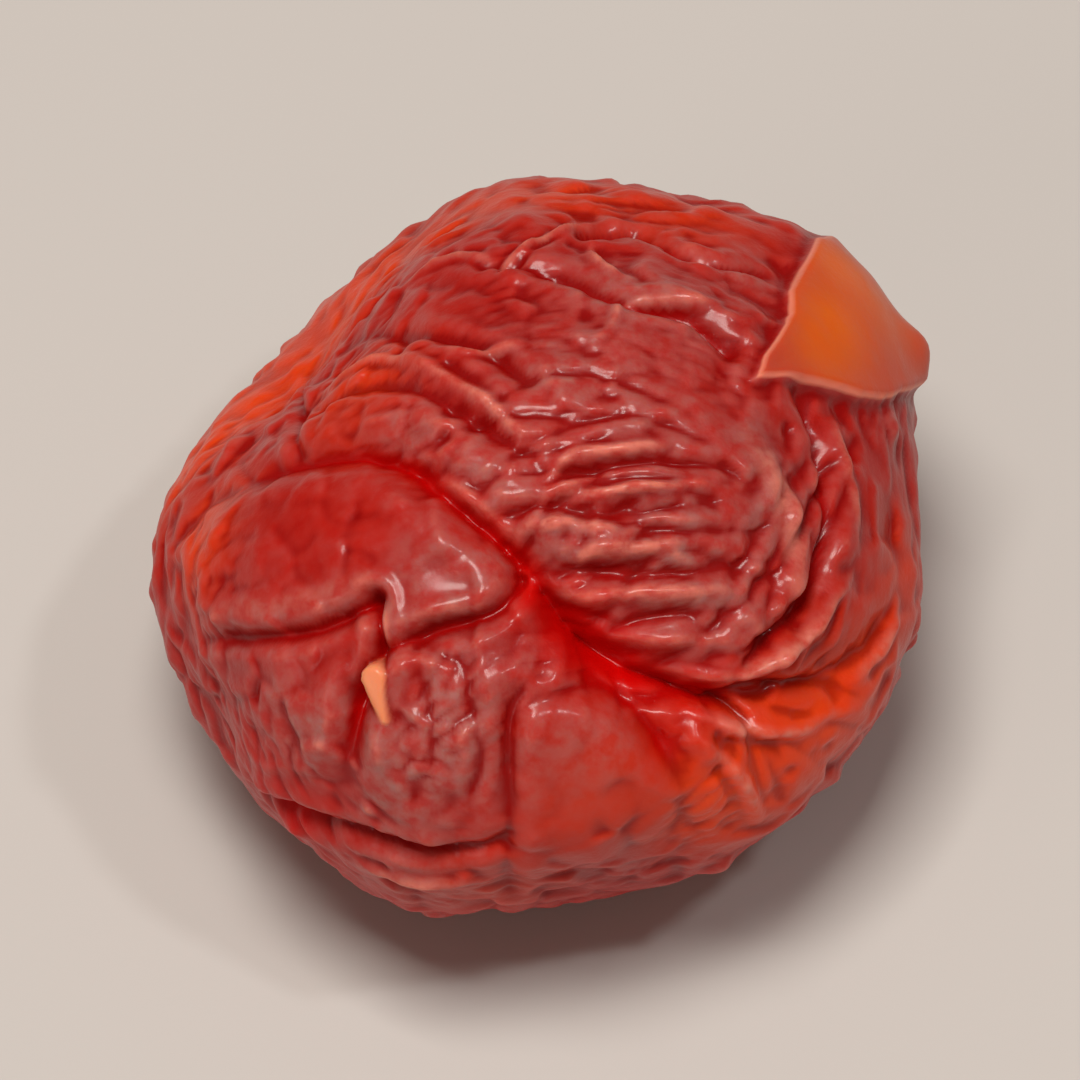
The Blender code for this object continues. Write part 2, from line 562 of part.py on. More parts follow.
def flatten_spot(mesh):
    """Puts every corner of the resting spot exactly on the ground."""
    for vertex in mesh.vertices:
        if vertex.co.z < REST_SNAP * MM:
            vertex.co.z = 0


def dried_cherry(collection):
    """Fine faces first, then fewer where the skin is plain, so that the folds keep theirs."""
    mesh, directions = ball_mesh("dried_cherry", GRID_CUTS)
    mesh.vertices.foreach_set("co", (fruit_points(directions) * MM).ravel())
    mesh.materials.append(skin_material())
    mesh.shade_smooth()
    fruit = bpy.data.objects.new("dried_cherry", mesh)
    collection.objects.link(fruit)
    fewer = fruit.modifiers.new("fewer_faces", "DECIMATE")
    fewer.ratio = TRIANGLES / (2 * len(mesh.polygons))
    fruit.data = bpy.data.meshes.new_from_object(fruit.evaluated_get(bpy.context.evaluated_depsgraph_get()))
    fruit.modifiers.clear()
    bpy.data.meshes.remove(mesh)
    fruit.data.name = "dried_cherry"
    flatten_spot(fruit.data)
    return fruit


def main():
    for old in list(bpy.data.objects):
        bpy.data.objects.remove(old)
    collection = bpy.data.collections.new("cherry")
    bpy.context.scene.collection.children.link(collection)
    dried_cherry(collection)


main()
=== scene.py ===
"""One pitted cherry, sugared and dried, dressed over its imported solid.

The form is the one that the solid has, drawn again with far finer faces. The folds that lie side by
side are more and narrower, and the small wrinkles, the thin ridges, the crumpled skin and the sliver
in the tear are added, which the solid is too coarse for. Sizes in the form are millimetres, in the
solid's own frame, and its box comes from the frame.
"""

import math

import bmesh
import bpy
import numpy as np
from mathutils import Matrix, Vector, noise


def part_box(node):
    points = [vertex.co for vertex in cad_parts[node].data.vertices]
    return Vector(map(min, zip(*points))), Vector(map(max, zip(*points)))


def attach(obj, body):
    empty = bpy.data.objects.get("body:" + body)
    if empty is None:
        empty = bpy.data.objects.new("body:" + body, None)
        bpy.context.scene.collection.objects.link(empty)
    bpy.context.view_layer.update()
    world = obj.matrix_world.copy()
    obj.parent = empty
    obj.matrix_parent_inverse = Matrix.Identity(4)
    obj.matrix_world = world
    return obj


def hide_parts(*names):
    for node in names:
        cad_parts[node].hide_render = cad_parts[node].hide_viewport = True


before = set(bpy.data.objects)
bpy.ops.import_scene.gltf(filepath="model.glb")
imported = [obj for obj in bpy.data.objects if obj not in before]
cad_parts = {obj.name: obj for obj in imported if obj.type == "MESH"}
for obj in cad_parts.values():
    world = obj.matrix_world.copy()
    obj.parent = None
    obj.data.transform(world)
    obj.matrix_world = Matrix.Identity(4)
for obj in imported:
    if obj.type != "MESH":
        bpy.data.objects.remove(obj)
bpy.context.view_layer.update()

MM = 0.001
FRUIT_LOW, FRUIT_HIGH = (np.array(corner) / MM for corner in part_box("dried_cherry"))
FRUIT_SIZE = FRUIT_HIGH - FRUIT_LOW
HALF = FRUIT_SIZE / 2
REST_SINK = 0.30
REST_SOFTNESS = 0.12

# How fine the surface is, and how much closer its points lie on the side with the deep crease
GRID_CUTS = 127
CROWDING = 0.42

# The top creases are sketched on a plane that looks down on the fruit from the front
SKETCH_ELEVATION = math.radians(54)
RIGHT = np.array([1.0, 0.0, 0.0])
UP = np.array([0.0, math.sin(SKETCH_ELEVATION), math.cos(SKETCH_ELEVATION)])
FACING = np.cross(RIGHT, UP)
NEAR, FAR = 1, -1
# Changes nothing that shows, and keeps divisions from meeting zero
TINY = 1e-9

# Swellings and hollows: right, up, side, radius, height, all but the side in millimetres
SWELLINGS = (
    (9.4, 6.2, NEAR, 3.4, 1.42),
    (-6.2, 7.8, NEAR, 4.6, -2.1),
    (-9.0, 4.6, NEAR, 3.0, -1.5),
    (3.6, 9.2, NEAR, 2.6, -0.35),
    (-8.2, 4.2, FAR, 3.0, -0.4),
    (-6.0, 9.2, NEAR, 3.0, -0.8),
    (-5.0, 7.0, FAR, 3.0, -0.3),
    (-7.6, -6.4, NEAR, 3.0, -0.5),
    (-9.6, -3.8, NEAR, 2.4, -0.6),
    (2.8, -9.4, NEAR, 2.2, -0.5),
    (8.2, -5.8, NEAR, 2.6, 0.45),
    (10.4, -3.0, NEAR, 2.6, 0.45),
    (4.2, 1.9, NEAR, 3.7, 1.15),
    (-4.5, 0.0, NEAR, 2.0, 0.1),
    (-1.6, -0.7, NEAR, 1.3, 0.2),
    (-2.9, -5.0, NEAR, 2.4, 0.6),
    (1.9, -6.8, NEAR, 2.0, 0.15),
    (-6.2, 4.6, NEAR, 2.6, -0.4),
    (2.1, -2.4, NEAR, 1.2, -0.8),
    (4.1, -3.8, NEAR, 1.0, -0.3),
    (-3.0, 2.0, FAR, 4.2, 0.8),
    (5.0, -3.0, FAR, 3.6, 0.6),
    (-7.0, -4.0, FAR, 2.8, -0.7),
    (1.5, 7.0, FAR, 2.6, -0.6),
    (0.4, -4.9, FAR, 2.6, 0.15),
)

# Where the middle of the swollen fruit lies from the middle of its plain body
SWOLLEN_MIDDLE = np.array([0.78, -0.31, 0.12])
# Rounds in which a sketched place is found again on the swollen body
PLACING_ROUNDS = 4

# Creases: side, half-width, then the route as right, up and depth
CREASES = (
    # the deep crease that curls under the dome
    (NEAR, 0.52, ((-9.4, 0.9, 0.1), (-8.0, 1.7, 0.3), (-6.8, 2.2, 0.5), (-5.2, 2.5, 0.7), (-3.6, 2.2, 0.8),
                  (-2.2, 1.2, 0.9), (-0.6, 0.0, 0.9), (0.4, -1.3, 0.7), (1.8, -2.7, 0.6),
                  (4.1, -3.8, 0.6), (6.4, -3.9, 0.5), (8.0, -3.4, 0.4), (9.2, -2.4, 0.2))),
    # the open hollow that the deep crease widens into
    (NEAR, 1.1, ((-1.6, 0.6, 0.1), (-0.1, -1.3, 0.5), (1.2, -2.6, 0.8), (2.9, -3.6, 0.6),
                 (5.2, -4.1, 0.3))),
    # the line below the ledge on the left
    (NEAR, 0.24, ((-9.0, -2.5, 0.15), (-7.4, -2.4, 0.4), (-6.0, -2.2, 0.5), (-4.4, -1.4, 0.6))),
    # the lower edge of the tongue's end
    (NEAR, 0.26, ((-4.1, -2.7, 0.5), (-2.8, -2.2, 0.6), (-1.4, -1.8, 0.5), (-0.6, -1.0, 0.4),
                  (-0.9, 0.0, 0.1))),
    # the tear below the tongue
    (NEAR, 0.24, ((-4.4, -1.3, 0.4), (-4.3, -2.4, 0.6), (-4.5, -3.4, 0.8))),
    (NEAR, 0.40, ((-4.6, -3.2, 0.3), (-4.9, -4.0, 0.9), (-5.1, -4.9, 0.7), (-5.3, -5.9, 0.2))),
    # the dark pocket at the lower left
    (NEAR, 0.42, ((-7.4, -6.6, 0.3), (-6.7, -7.0, 0.7), (-5.9, -7.4, 0.4))),
    # the groove between the left lobe and the belly
    (NEAR, 0.30, ((-0.2, -3.6, 0.1), (-0.8, -4.2, 0.35), (-0.9, -5.4, 0.3), (-0.8, -6.8, 0.2),
                  (-0.9, -8.2, 0.2), (-0.8, -9.4, 0.1))),
    # the edge of the belly towards the fan of folds
    (NEAR, 0.42, ((1.2, -3.5, 0.3), (2.2, -4.2, 0.5), (3.2, -5.2, 0.4), (3.7, -6.4, 0.2),
                  (3.7, -7.8, 0.1))),
    # the upper edge of the belly
    (NEAR, 0.26, ((-0.7, -4.4, 0.1), (0.3, -4.0, 0.18), (1.3, -3.9, 0.18), (2.1, -4.3, 0.1))),
    # folds of the left shoulder
    (NEAR, 0.26, ((-6.6, 4.2, 0.1), (-6.6, 3.4, 0.3), (-6.6, 2.6, 0.2))),
    (NEAR, 0.26, ((-6.3, 3.4, 0.2), (-5.0, 4.05, 0.3), (-3.6, 4.2, 0.35), (-2.2, 3.5, 0.4),
                  (-0.2, 2.4, 0.2))),
    (NEAR, 0.26, ((-4.6, 5.7, 0.1), (-3.6, 5.6, 0.25), (-1.6, 5.2, 0.35), (-0.4, 4.4, 0.3))),
    # the longest folds across the dome
    (NEAR, 0.22, ((0.2, 2.2, 0.1), (1.6, 2.15, 0.3), (3.4, 2.3, 0.35), (5.1, 2.1, 0.15))),
    (NEAR, 0.22, ((-0.5, 1.2, 0.2), (1.0, 1.1, 0.35), (2.7, 1.0, 0.3), (4.6, 1.2, 0.15))),
    (NEAR, 0.24, ((0.3, -0.4, 0.2), (1.8, -0.5, 0.4), (3.7, -0.6, 0.35), (5.4, -0.4, 0.15))),
    (NEAR, 0.22, ((1.6, -1.6, 0.15), (3.2, -1.7, 0.3), (4.8, -1.6, 0.15))),
    # the rim of the dome on the right
    (NEAR, 0.28, ((7.0, 4.2, 0.2), (7.7, 2.4, 0.5), (7.7, 0.4, 0.5), (7.2, -1.4, 0.6), (5.6, -2.9, 0.3))),
    # folds behind the dome
    (NEAR, 0.28, ((5.2, 5.2, 0.5), (4.0, 6.1, 0.6), (2.4, 6.4, 0.5), (0.6, 7.2, 0.4), (-1.4, 7.4, 0.3))),
    (NEAR, 0.26, ((6.0, 7.3, 0.3), (4.2, 7.6, 0.5), (2.6, 8.4, 0.6), (1.2, 8.3, 0.4))),
    # the fold along the lower left rim
    (NEAR, 0.30, ((-5.8, -7.4, 0.3), (-4.4, -7.8, 0.5), (-3.0, -8.1, 0.6), (-1.8, -8.0, 0.4),
                  (-0.9, -7.7, 0.2))),
    # folds that draw in to the scar on the far side
    (FAR, 0.46, ((-1.4, -1.0, 0.8), (-3.6, -1.6, 1.0), (-6.0, -1.4, 0.8), (-8.6, -0.4, 0.3))),
    (FAR, 0.46, ((-0.6, 0.6, 0.9), (-1.8, 2.8, 1.1), (-2.2, 5.2, 0.9), (-3.4, 7.6, 0.4))),
    (FAR, 0.42, ((1.2, 0.9, 0.9), (2.8, 2.8, 1.0), (5.2, 4.0, 0.8), (7.4, 6.2, 0.4))),
    (FAR, 0.46, ((1.8, -0.6, 0.8), (4.2, -0.4, 1.0), (6.6, -1.2, 0.8), (9.2, -1.0, 0.3))),
    (FAR, 0.38, ((0.9, -1.4, 0.6), (2.8, -3.0, 0.8), (4.8, -4.6, 0.7), (6.4, -6.4, 0.3))),
    (FAR, 0.36, ((-4.6, 4.6, 0.3), (-6.2, 3.4, 0.8), (-7.8, 2.8, 0.6), (-9.4, 1.6, 0.2))),
    (FAR, 0.36, ((1.4, 6.2, 0.3), (3.2, 7.0, 0.7), (4.6, 8.4, 0.5))),
)

# Raised ridges: side, half-width, then the route as right, up and height
RIDGES = (
    # the upper left shoulder
    (NEAR, 0.16, ((-6.0, 4.0, 0.1), (-5.2, 4.45, 0.18), (-4.3, 4.85, 0.22), (-3.2, 4.7, 0.2),
                  (-2.1, 4.15, 0.18), (-1.3, 3.6, 0.18), (-0.5, 2.95, 0.1))),
    (NEAR, 0.18, ((-3.6, 6.8, 0.1), (-3.0, 7.2, 0.2), (-2.2, 7.5, 0.2), (-1.2, 7.5, 0.1))),
    # the ledge at the left of the tongue
    (NEAR, 0.40, ((-9.1, -1.8, 0.05), (-7.5, -1.6, 0.12), (-6.0, -1.3, 0.12), (-4.6, -0.8, 0.1))),
    # the lip of the dome along the deep crease
    (NEAR, 0.20, ((-3.0, 1.85, 0.1), (-2.2, 1.65, 0.3), (-1.3, 0.95, 0.3), (-0.4, 0.3, 0.1))),
    # the lip below the lobe
    (NEAR, 0.22, ((-4.8, -8.4, 0.1), (-3.4, -8.7, 0.25), (-2.0, -8.8, 0.1))),
    # the broad fold down the right of the dome, and those round its lower right
    (NEAR, 0.45, ((5.6, 3.0, 0.1), (6.2, 2.0, 0.25), (6.7, 0.6, 0.25), (6.8, -0.8, 0.15),
                  (6.0, -2.1, 0.05))),
    (NEAR, 0.20, ((2.9, -3.0, 0.1), (5.1, -3.3, 0.25), (7.1, -2.3, 0.25), (8.2, -0.9, 0.1))),
    (NEAR, 0.20, ((8.0, 3.2, 0.1), (8.2, 2.4, 0.25), (8.4, 1.2, 0.2), (8.3, 0.0, 0.1))),
    (NEAR, 0.18, ((8.5, -3.6, 0.1), (9.2, -2.8, 0.25), (9.6, -1.6, 0.1))),
    # the fan at the lower right
    (NEAR, 0.18, ((4.0, -4.4, 0.1), (5.4, -4.9, 0.3), (6.8, -4.9, 0.2), (8.0, -4.4, 0.1))),
    (NEAR, 0.18, ((4.2, -5.2, 0.1), (5.2, -6.0, 0.25), (5.8, -7.2, 0.1))),
)

# A crease or ridge across: how sharply a valley opens and a ridge rises, its lips' share of the depth and
# where they stand, how strongly and how far it draws the skin in, and how far out it counts at all, in
# half-widths of the crease
VALLEY_POWER = 1.5
RIDGE_POWER = 2.0
LIP = 0.2
LIP_PLACE = 2.1
LIP_SPREAD = 0.9
PINCH = 0.35
PINCH_REACH = 1.6
CREASE_REACH = 5

# Bundles of folds side by side: side, how many, half-width, depth, then where the first, middle and
# last of them start and where they end
BUNDLES = (
    # long folds that run across the dome out of the deep crease
    (NEAR, 13, 0.14, 0.18, ((-3.2, 2.8), (-0.8, 0.5), (2.2, -2.4)), ((3.6, 4.0), (5.2, 1.4), (4.4, -2.0))),
    # folds that fan out of the navel to the lower right wall
    (NEAR, 7, 0.16, 0.22, ((2.6, -3.9), (3.4, -4.1), (4.8, -4.3)), ((4.8, -7.6), (7.2, -6.2), (9.2, -3.8))),
    # folds round the lower right of the dome
    (NEAR, 5, 0.18, 0.26, ((6.4, 2.0), (7.6, 2.8), (9.2, 3.2)), ((2.6, -2.9), (4.6, -3.4), (7.8, -3.2))),
    # folds on the left lobe
    (NEAR, 3, 0.18, 0.14, ((-3.6, -3.2), (-2.8, -3.0), (-1.6, -3.0)),
     ((-4.6, -6.8), (-3.0, -7.2), (-1.4, -6.6))),
)
BUNDLE_BOW = 0.10
BUNDLE_UNEVENNESS = 0.22
BUNDLE_STRENGTH = (0.5, 1.2)
BUNDLE_SEED = 5
# Points along each fold of a bundle: the share of its length, and of its depth there
BUNDLE_PROFILE = np.array([(0, 0.4), (0.3, 1), (0.65, 0.9), (1, 0.2)])

# The scar where the stone came out, on the far side: right, up, radius, depth. Its rim is raised by
# a share of the depth and stands a little outside its radius
SCAR = (0.0, 0.0, 1.5, 1.3)
SCAR_RIM = 0.25
SCAR_RIM_PLACE = 1.7
SCAR_RIM_SPREAD = 0.5

# The torn flap of skin: its corners in the sketch plane, how far it wraps round behind the outline and
# over what distance it passes into the skin there, how high it lies over the swollen body, how gently
# its edge falls, how much and how far in the edge curls up, and how much of the folds under it show
# through. Its outer corner stands off the fruit: right, up, side, radius, height
FLAP_CORNERS = (
    (5.7, 4.35), (6.6, 4.35), (7.2, 4.25), (8.1, 4.0), (8.5, 3.85), (9.2, 3.8), (10.2, 4.1), (11.6, 4.7),
    (11.6, 6.0), (9.2, 8.2), (7.4, 8.0), (7.2, 7.6), (6.85, 7.0), (6.6, 6.6), (6.6, 6.0), (6.25, 5.4),
    (5.9, 4.9),
)
FLAP_WRAP = 2.0
FLAP_FADE = 1.2
FLAP_LIFT = 0.25
FLAP_TIP = (10.2, 4.5, NEAR, 0.5, 0.5)
FLAP_EDGE = 0.05
FLAP_CURL = 0.16
FLAP_CURL_REACH = 0.25
FLAP_SHOWS = 0.12

# Where the skin stayed smooth: right, up, side, radius, and the share of the wrinkles it lacks
SMOOTH_SPOTS = (
    (-6.2, 0.4, NEAR, 1.9, 0.85),
    (-3.2, -0.2, NEAR, 1.3, 0.75),
    (1.3, -6.2, NEAR, 1.7, 0.9),
    (-6.2, 5.6, NEAR, 2.6, 0.8),
    (9.2, 0.0, NEAR, 1.8, 0.5),
    (0.0, -5.0, FAR, 2.4, 0.8),
)

# Which way the small wrinkles run: right, up, side, and the angle in the sketch plane in degrees
GRAIN = (
    (2.0, 1.6, NEAR, 3), (3.6, 0.0, NEAR, 2), (5.6, 2.6, NEAR, 12), (0.0, 2.6, NEAR, -24),
    (3.4, -2.2, NEAR, -6), (6.4, -2.0, NEAR, 38), (7.9, 0.4, NEAR, 84), (9.4, 1.6, NEAR, 92),
    (2.4, 5.6, NEAR, -8), (4.8, 6.6, NEAR, -24), (1.0, 8.4, NEAR, 8), (-2.2, 6.4, NEAR, 24),
    (-5.0, 5.6, NEAR, 42), (-8.6, 2.6, NEAR, 50), (-5.4, 1.2, NEAR, 8), (-2.6, -0.6, NEAR, 26),
    (-8.0, -0.8, NEAR, 10), (-9.4, -3.2, NEAR, 118), (-6.4, -4.4, NEAR, 82), (-3.4, -4.4, NEAR, 64),
    (-3.2, -6.6, NEAR, -22), (-1.6, -9.0, NEAR, -8), (1.6, -6.4, NEAR, 74), (3.6, -5.0, NEAR, -48),
    (6.6, -4.8, NEAR, -14), (4.6, -7.4, NEAR, 66),
    (-5.0, -1.6, FAR, 10), (-2.0, 4.4, FAR, 104), (4.2, 3.4, FAR, 42), (5.6, -0.8, FAR, -6),
    (1.4, -5.0, FAR, 112), (-5.4, 4.4, FAR, 140), (-4.8, -5.6, FAR, 48), (6.0, -5.2, FAR, -44),
    (0.6, 9.0, FAR, 4), (0.4, -9.2, FAR, 2), (9.0, 3.4, FAR, 70), (-9.0, 2.8, FAR, 110),
)
GRAIN_REACH = 2.2
# How much a mark beyond its reach still counts
FAR_MARK = 1e-6

# Folds that follow the grain: how many patches of waves, how far a patch reaches, how far the folds
# lie apart, how high they stand, and the seed
FINE_FOLDS = (620, 1.0, 1.0, 0.10, 11)
COARSE_FOLDS = (240, 2.0, 2.0, 0.24, 23)
# The coarse folds cover the sides and the back, and fade out towards the sketched middle
COARSE_EDGE = 4.5
COARSE_FADE = 1.8
# Their middle height, how rounded they are, how far the waves turn from the grain, and how far the
# folds lean over down the fruit
FOLD_MIDDLE = 0.6
FOLD_ROUNDING = 0.2
FOLD_TURN = 0.3
FOLD_LEAN = 0.7
# How far each patch is moved, in spacings of patches, and where it ends, in reaches of the patch
PATCH_JITTER = 0.5
PATCH_END = 2.6

# Where the folds have sharp valleys and where sharp crests: how far apart those places lie, how far
# the valleys win, and how quickly one turns into the other
CHARACTER_SIZE = 3.0
CHARACTER_MIDDLE = 0.45
CHARACTER_CONTRAST = 2.2

# Uneven swelling of the flesh: size across and height
LUMP_SIZE = 3.6
LUMP_HEIGHT = 0.34

# Small wrinkles that the solid is too coarse for, as for the folds
SMALL_WRINKLES = (2600, 0.55, 0.42, 0.065, 41)
TINY_WRINKLES = (5200, 0.34, 0.25, 0.03, 57)
# Where they are strongest: right, up, side, radius, and how much stronger
WRINKLED_SPOTS = (
    (2.6, 1.2, NEAR, 3.6, 0.3),
    (-3.6, -4.6, NEAR, 2.4, 0.4),
)
# Crumpled skin: the size of its facets, how steep they are, how far apart like tilts lie, in facets,
# where the noise for each way of tilting is read, how soft the edges between the facets are, and the
# share of it that smooth skin keeps
CRUMPLE_SIZE = 1.15
CRUMPLE_SLOPE = 0.42
CRUMPLE_CHANGE = 0.137
CRUMPLE_SHIFTS = (3.1, 17.3, 29.7)
CRUMPLE_SOFTNESS = 4
SMOOTH_CRUMPLE = 0.45
# Rounds of smoothing that take the steps of the mesh out of the sharpest ridges
RIDGE_SOFTNESS = 1

# Thin raised ridges that the solid is too coarse for: side, half-width, then the route as right, up
# and height
THIN_RIDGES = (
    (NEAR, 0.15, ((-2.4, 5.05, 0.1), (-1.5, 5.1, 0.25), (-0.56, 5.3, 0.1))),
    (NEAR, 0.13, ((1.3, 5.2, 0.05), (1.9, 5.8, 0.1), (2.2, 6.4, 0.12), (3.3, 6.45, 0.14),
                  (4.65, 6.3, 0.1))),
    (NEAR, 0.15, ((-1.3, 7.2, 0.1), (-0.4, 7.8, 0.25), (0.4, 8.2, 0.2), (1.3, 8.5, 0.1))),
    (NEAR, 0.14, ((1.4, 8.0, 0.1), (1.5, 7.5, 0.2), (2.4, 7.0, 0.1))),
    (NEAR, 0.12, ((-4.15, -1.5, 0.1), (-4.1, -2.2, 0.2), (-4.15, -2.8, 0.1))),
    (NEAR, 0.14, ((0.3, 1.9, 0.1), (0.9, 2.5, 0.2), (2.0, 2.6, 0.2), (3.3, 2.7, 0.1))),
    (NEAR, 0.14, ((0.2, 1.5, 0.1), (2.2, 1.55, 0.2), (4.3, 1.7, 0.1))),
    (NEAR, 0.15, ((-0.5, 0.6, 0.1), (0.8, 0.7, 0.2), (1.9, 0.5, 0.1))),
    (NEAR, 0.14, ((1.2, -0.1, 0.1), (2.2, 0.05, 0.2), (3.6, -0.1, 0.1))),
    (NEAR, 0.15, ((0.6, -0.9, 0.1), (1.3, -1.15, 0.25), (2.6, -1.05, 0.2), (4.4, -1.1, 0.1))),
    (NEAR, 0.16, ((1.9, -2.1, 0.1), (3.2, -2.3, 0.2), (4.8, -2.3, 0.1))),
)

# The sliver of flesh in the tear: its route in the sketch, how wide it is and how far it stands up
SLIVER = ((-4.4, -3.4), (-4.3, -3.9), (-4.1, -4.5))
SLIVER_WIDTH = (0.38, 0.10)
SLIVER_EDGE = 0.05
SLIVER_HEIGHT = 0.75

# Painted glow: orange where light shines through thin skin: right, up, side, radius, share
SHINE_THROUGH_SPOTS = (
    (1.4, -6.6, NEAR, 1.5, 0.35),
    (5.0, -6.6, NEAR, 1.5, 0.95),
    (7.4, -5.0, NEAR, 1.6, 0.85),
    (9.0, -3.4, NEAR, 1.2, 0.6),
    (-6.2, 6.0, NEAR, 2.0, 0.8),
    (-4.4, 7.2, NEAR, 1.7, 0.7),
    (-2.2, 8.9, NEAR, 1.4, 0.6),
    (0.6, 9.4, NEAR, 1.4, 0.6),
    (4.0, 8.8, NEAR, 1.4, 0.4),
    (-9.4, 2.0, NEAR, 1.4, 0.9),
    (-9.2, 0.2, NEAR, 1.3, 0.75),
    (-1.0, -9.2, NEAR, 1.5, 0.35),
    (-8.0, 3.8, NEAR, 1.9, 0.9),
    (-9.0, 4.0, FAR, 1.6, 0.7),
    (-6.4, 6.6, FAR, 1.6, 0.7),
    (9.8, -1.0, NEAR, 1.3, 0.45),
    (-5.0, 4.2, NEAR, 1.4, 0.5),
    (7.0, 1.0, FAR, 2.2, 0.5),
    (-6.0, 3.0, FAR, 2.4, 0.5),
    (1.0, 7.5, FAR, 2.2, 0.6),
)
# Where the torn flap is thinnest and orange
ORANGE_SPOTS = (
    (7.9, 7.2, NEAR, 0.8, 0.9),
    (7.8, 5.8, NEAR, 0.9, 0.95),
    (7.4, 5.0, NEAR, 0.8, 0.7),
    (8.8, 6.2, NEAR, 1.0, 0.6),
)
# Painted sheen, the grey-pink reflection of the overhead light on the glaze: right, up, side, radius, share
SHEEN_SPOTS = (
    (-2.6, -1.1, NEAR, 0.9, 0.4),
    (-1.6, -0.9, NEAR, 0.7, 0.4),
    (-3.6, -1.6, NEAR, 0.6, 0.5),
    (-3.4, -0.3, NEAR, 0.5, 0.35),
    (-7.2, -1.7, NEAR, 0.6, 0.6),
    (-5.6, -1.3, NEAR, 0.5, 0.5),
    (-3.0, -5.4, NEAR, 1.3, 1.0),
    (-6.4, -4.6, NEAR, 1.0, 0.9),
    (-2.4, -4.0, NEAR, 0.7, 0.7),
    (-4.0, -6.8, NEAR, 0.9, 0.7),
    (-3.4, -8.8, NEAR, 0.9, 0.7),
    (-8.6, -2.8, NEAR, 0.9, 0.5),
    (1.0, -5.4, NEAR, 1.1, 0.6),
    (-0.2, -3.0, NEAR, 0.6, 0.5),
    (-1.6, 2.0, NEAR, 0.8, 0.6),
    (0.4, 0.6, NEAR, 0.8, 0.6),
    (1.6, -0.6, NEAR, 0.8, 0.7),
    (3.6, 0.2, NEAR, 1.0, 0.7),
    (2.6, -1.6, NEAR, 0.9, 0.8),
    (4.6, -1.6, NEAR, 1.1, 0.6),
    (6.2, 1.2, NEAR, 0.8, 0.8),
    (5.8, 2.8, NEAR, 0.7, 0.6),
    (3.0, 3.6, NEAR, 1.6, 0.5),
    (2.4, 6.6, NEAR, 1.4, 0.6),
    (0.4, 4.4, NEAR, 1.0, 0.6),
    (-3.4, 3.2, NEAR, 0.6, 0.7),
    (5.4, 7.4, NEAR, 1.0, 0.4),
    (9.6, 3.2, NEAR, 0.9, 0.5),
    (-2.0, -3.6, FAR, 2.6, 0.5),
    (4.6, 4.4, FAR, 2.6, 0.5),
    (-4.0, 5.0, FAR, 1.8, 0.4),
)

# Painted red glow in the hollows, where light that went into the flesh comes out: right, up, side, radius,
# share
GLOWING_SPOTS = (
    (1.2, -2.4, NEAR, 0.9, 0.95),
    (2.6, -3.4, NEAR, 0.7, 0.9),
    (4.4, -3.9, NEAR, 0.6, 0.7),
    (-0.2, -1.2, NEAR, 0.5, 0.6),
    (-6.7, -7.0, NEAR, 0.6, 0.8),
    (3.3, -5.3, NEAR, 0.4, 0.6),
)
# Spots painted a deeper red: right, up, side, radius, share
DEEP_SPOTS = (
    (-2.0, -2.6, NEAR, 0.6, 0.9),
    (-8.2, -2.8, NEAR, 0.7, 0.8),
    (-6.8, -7.0, NEAR, 0.7, 0.9),
    (1.4, -2.6, NEAR, 1.1, 0.9),
    (3.4, -3.6, NEAR, 1.0, 0.8),
    (-1.2, 5.4, NEAR, 0.9, 0.7),
    (-4.7, 5.6, NEAR, 0.6, 0.8),
    (-5.2, 3.5, NEAR, 0.6, 0.7),
    (4.6, 6.0, NEAR, 1.2, 0.6),
    (-2.6, 3.2, NEAR, 0.8, 0.6),
    (2.6, 2.2, NEAR, 0.8, 0.5),
    (3.6, 1.2, NEAR, 0.9, 0.6),
    (1.2, -0.2, NEAR, 0.7, 0.5),
    (7.8, 0.8, NEAR, 0.9, 0.6),
    (-4.8, -3.8, NEAR, 0.5, 0.8),
    (-1.2, -6.4, NEAR, 0.5, 0.7),
    (0.0, -9.2, NEAR, 1.4, 0.5),
    (-7.6, 1.2, NEAR, 1.2, 0.5),
    (0.0, 0.0, FAR, 1.4, 0.9),
    (-5.4, -3.8, FAR, 1.8, 0.5),
    (4.0, -3.6, FAR, 1.8, 0.5),
)

# How the painted sheen, shade, highlights and glow lie: the height over the skin close by and farther off
# that makes a full crest, the share of painted sheen everywhere, in the spots and on crests, how clean of
# sheen valleys are and how deeply they take the painted shade, how clean of sheen the skin with the
# painted orange glow is and how much less painted shade it takes, how strong a painted highlight a crest
# without sheen takes, from where to where crests and ridges take painted highlights, and between which
# depths a crease begins to take the painted red glow
CLOSE_RELIEF = 0.045
WIDE_RELIEF = 0.22
THIN_SHEEN = 0.04
THICK_SHEEN = 0.55
CREST_SHEEN = 0.14
VALLEY_CLEAN = 0.9
VALLEY_SHADE = 0.95
SHINE_THROUGH_CLEAN = 0.85
SHINE_THROUGH_LESS_SHADE = 0.6
HIGHLIGHT_BARE = 0.2
HIGHLIGHT_CREST = (1.3, 3.4)
HIGHLIGHT_RIDGE = (0.06, 0.35)
GLOWING_CUT = (0.3, 1.0)
# Rounds of averaging that make the skin close by, and from there the skin farther off
CLOSE_ROUNDS = 10
WIDE_ROUNDS = 90

# The skin's colours. Flesh soaked in syrup varies between two reds. Painted over it are an orange glow
# where light shines through thin skin, shade in valleys and some spots as a deeper red, the grey-pink
# sheen of the overhead light, highlights on crests, and a red glow in the creases
FLESH_DARK, FLESH_LIGHT = "#9c0a05", "#b81a0c"
SHINE_THROUGH_ORANGE = "#e64208"
DEEP_SHADE_RED = "#8e0000"
SHEEN_PINK = "#a0706a"
HIGHLIGHT_PINK = "#cc7464"
GLOWING_RED = "#c60000"
FLAP_THICK, FLAP_THIN = "#bc442c", "#dc6008"
# The flap's pale torn edge is partly a painted highlight where the edge catches the light
TORN_EDGE_HIGHLIGHT = "#dc8068"
SLIVER_FLESH = "#e28a60"
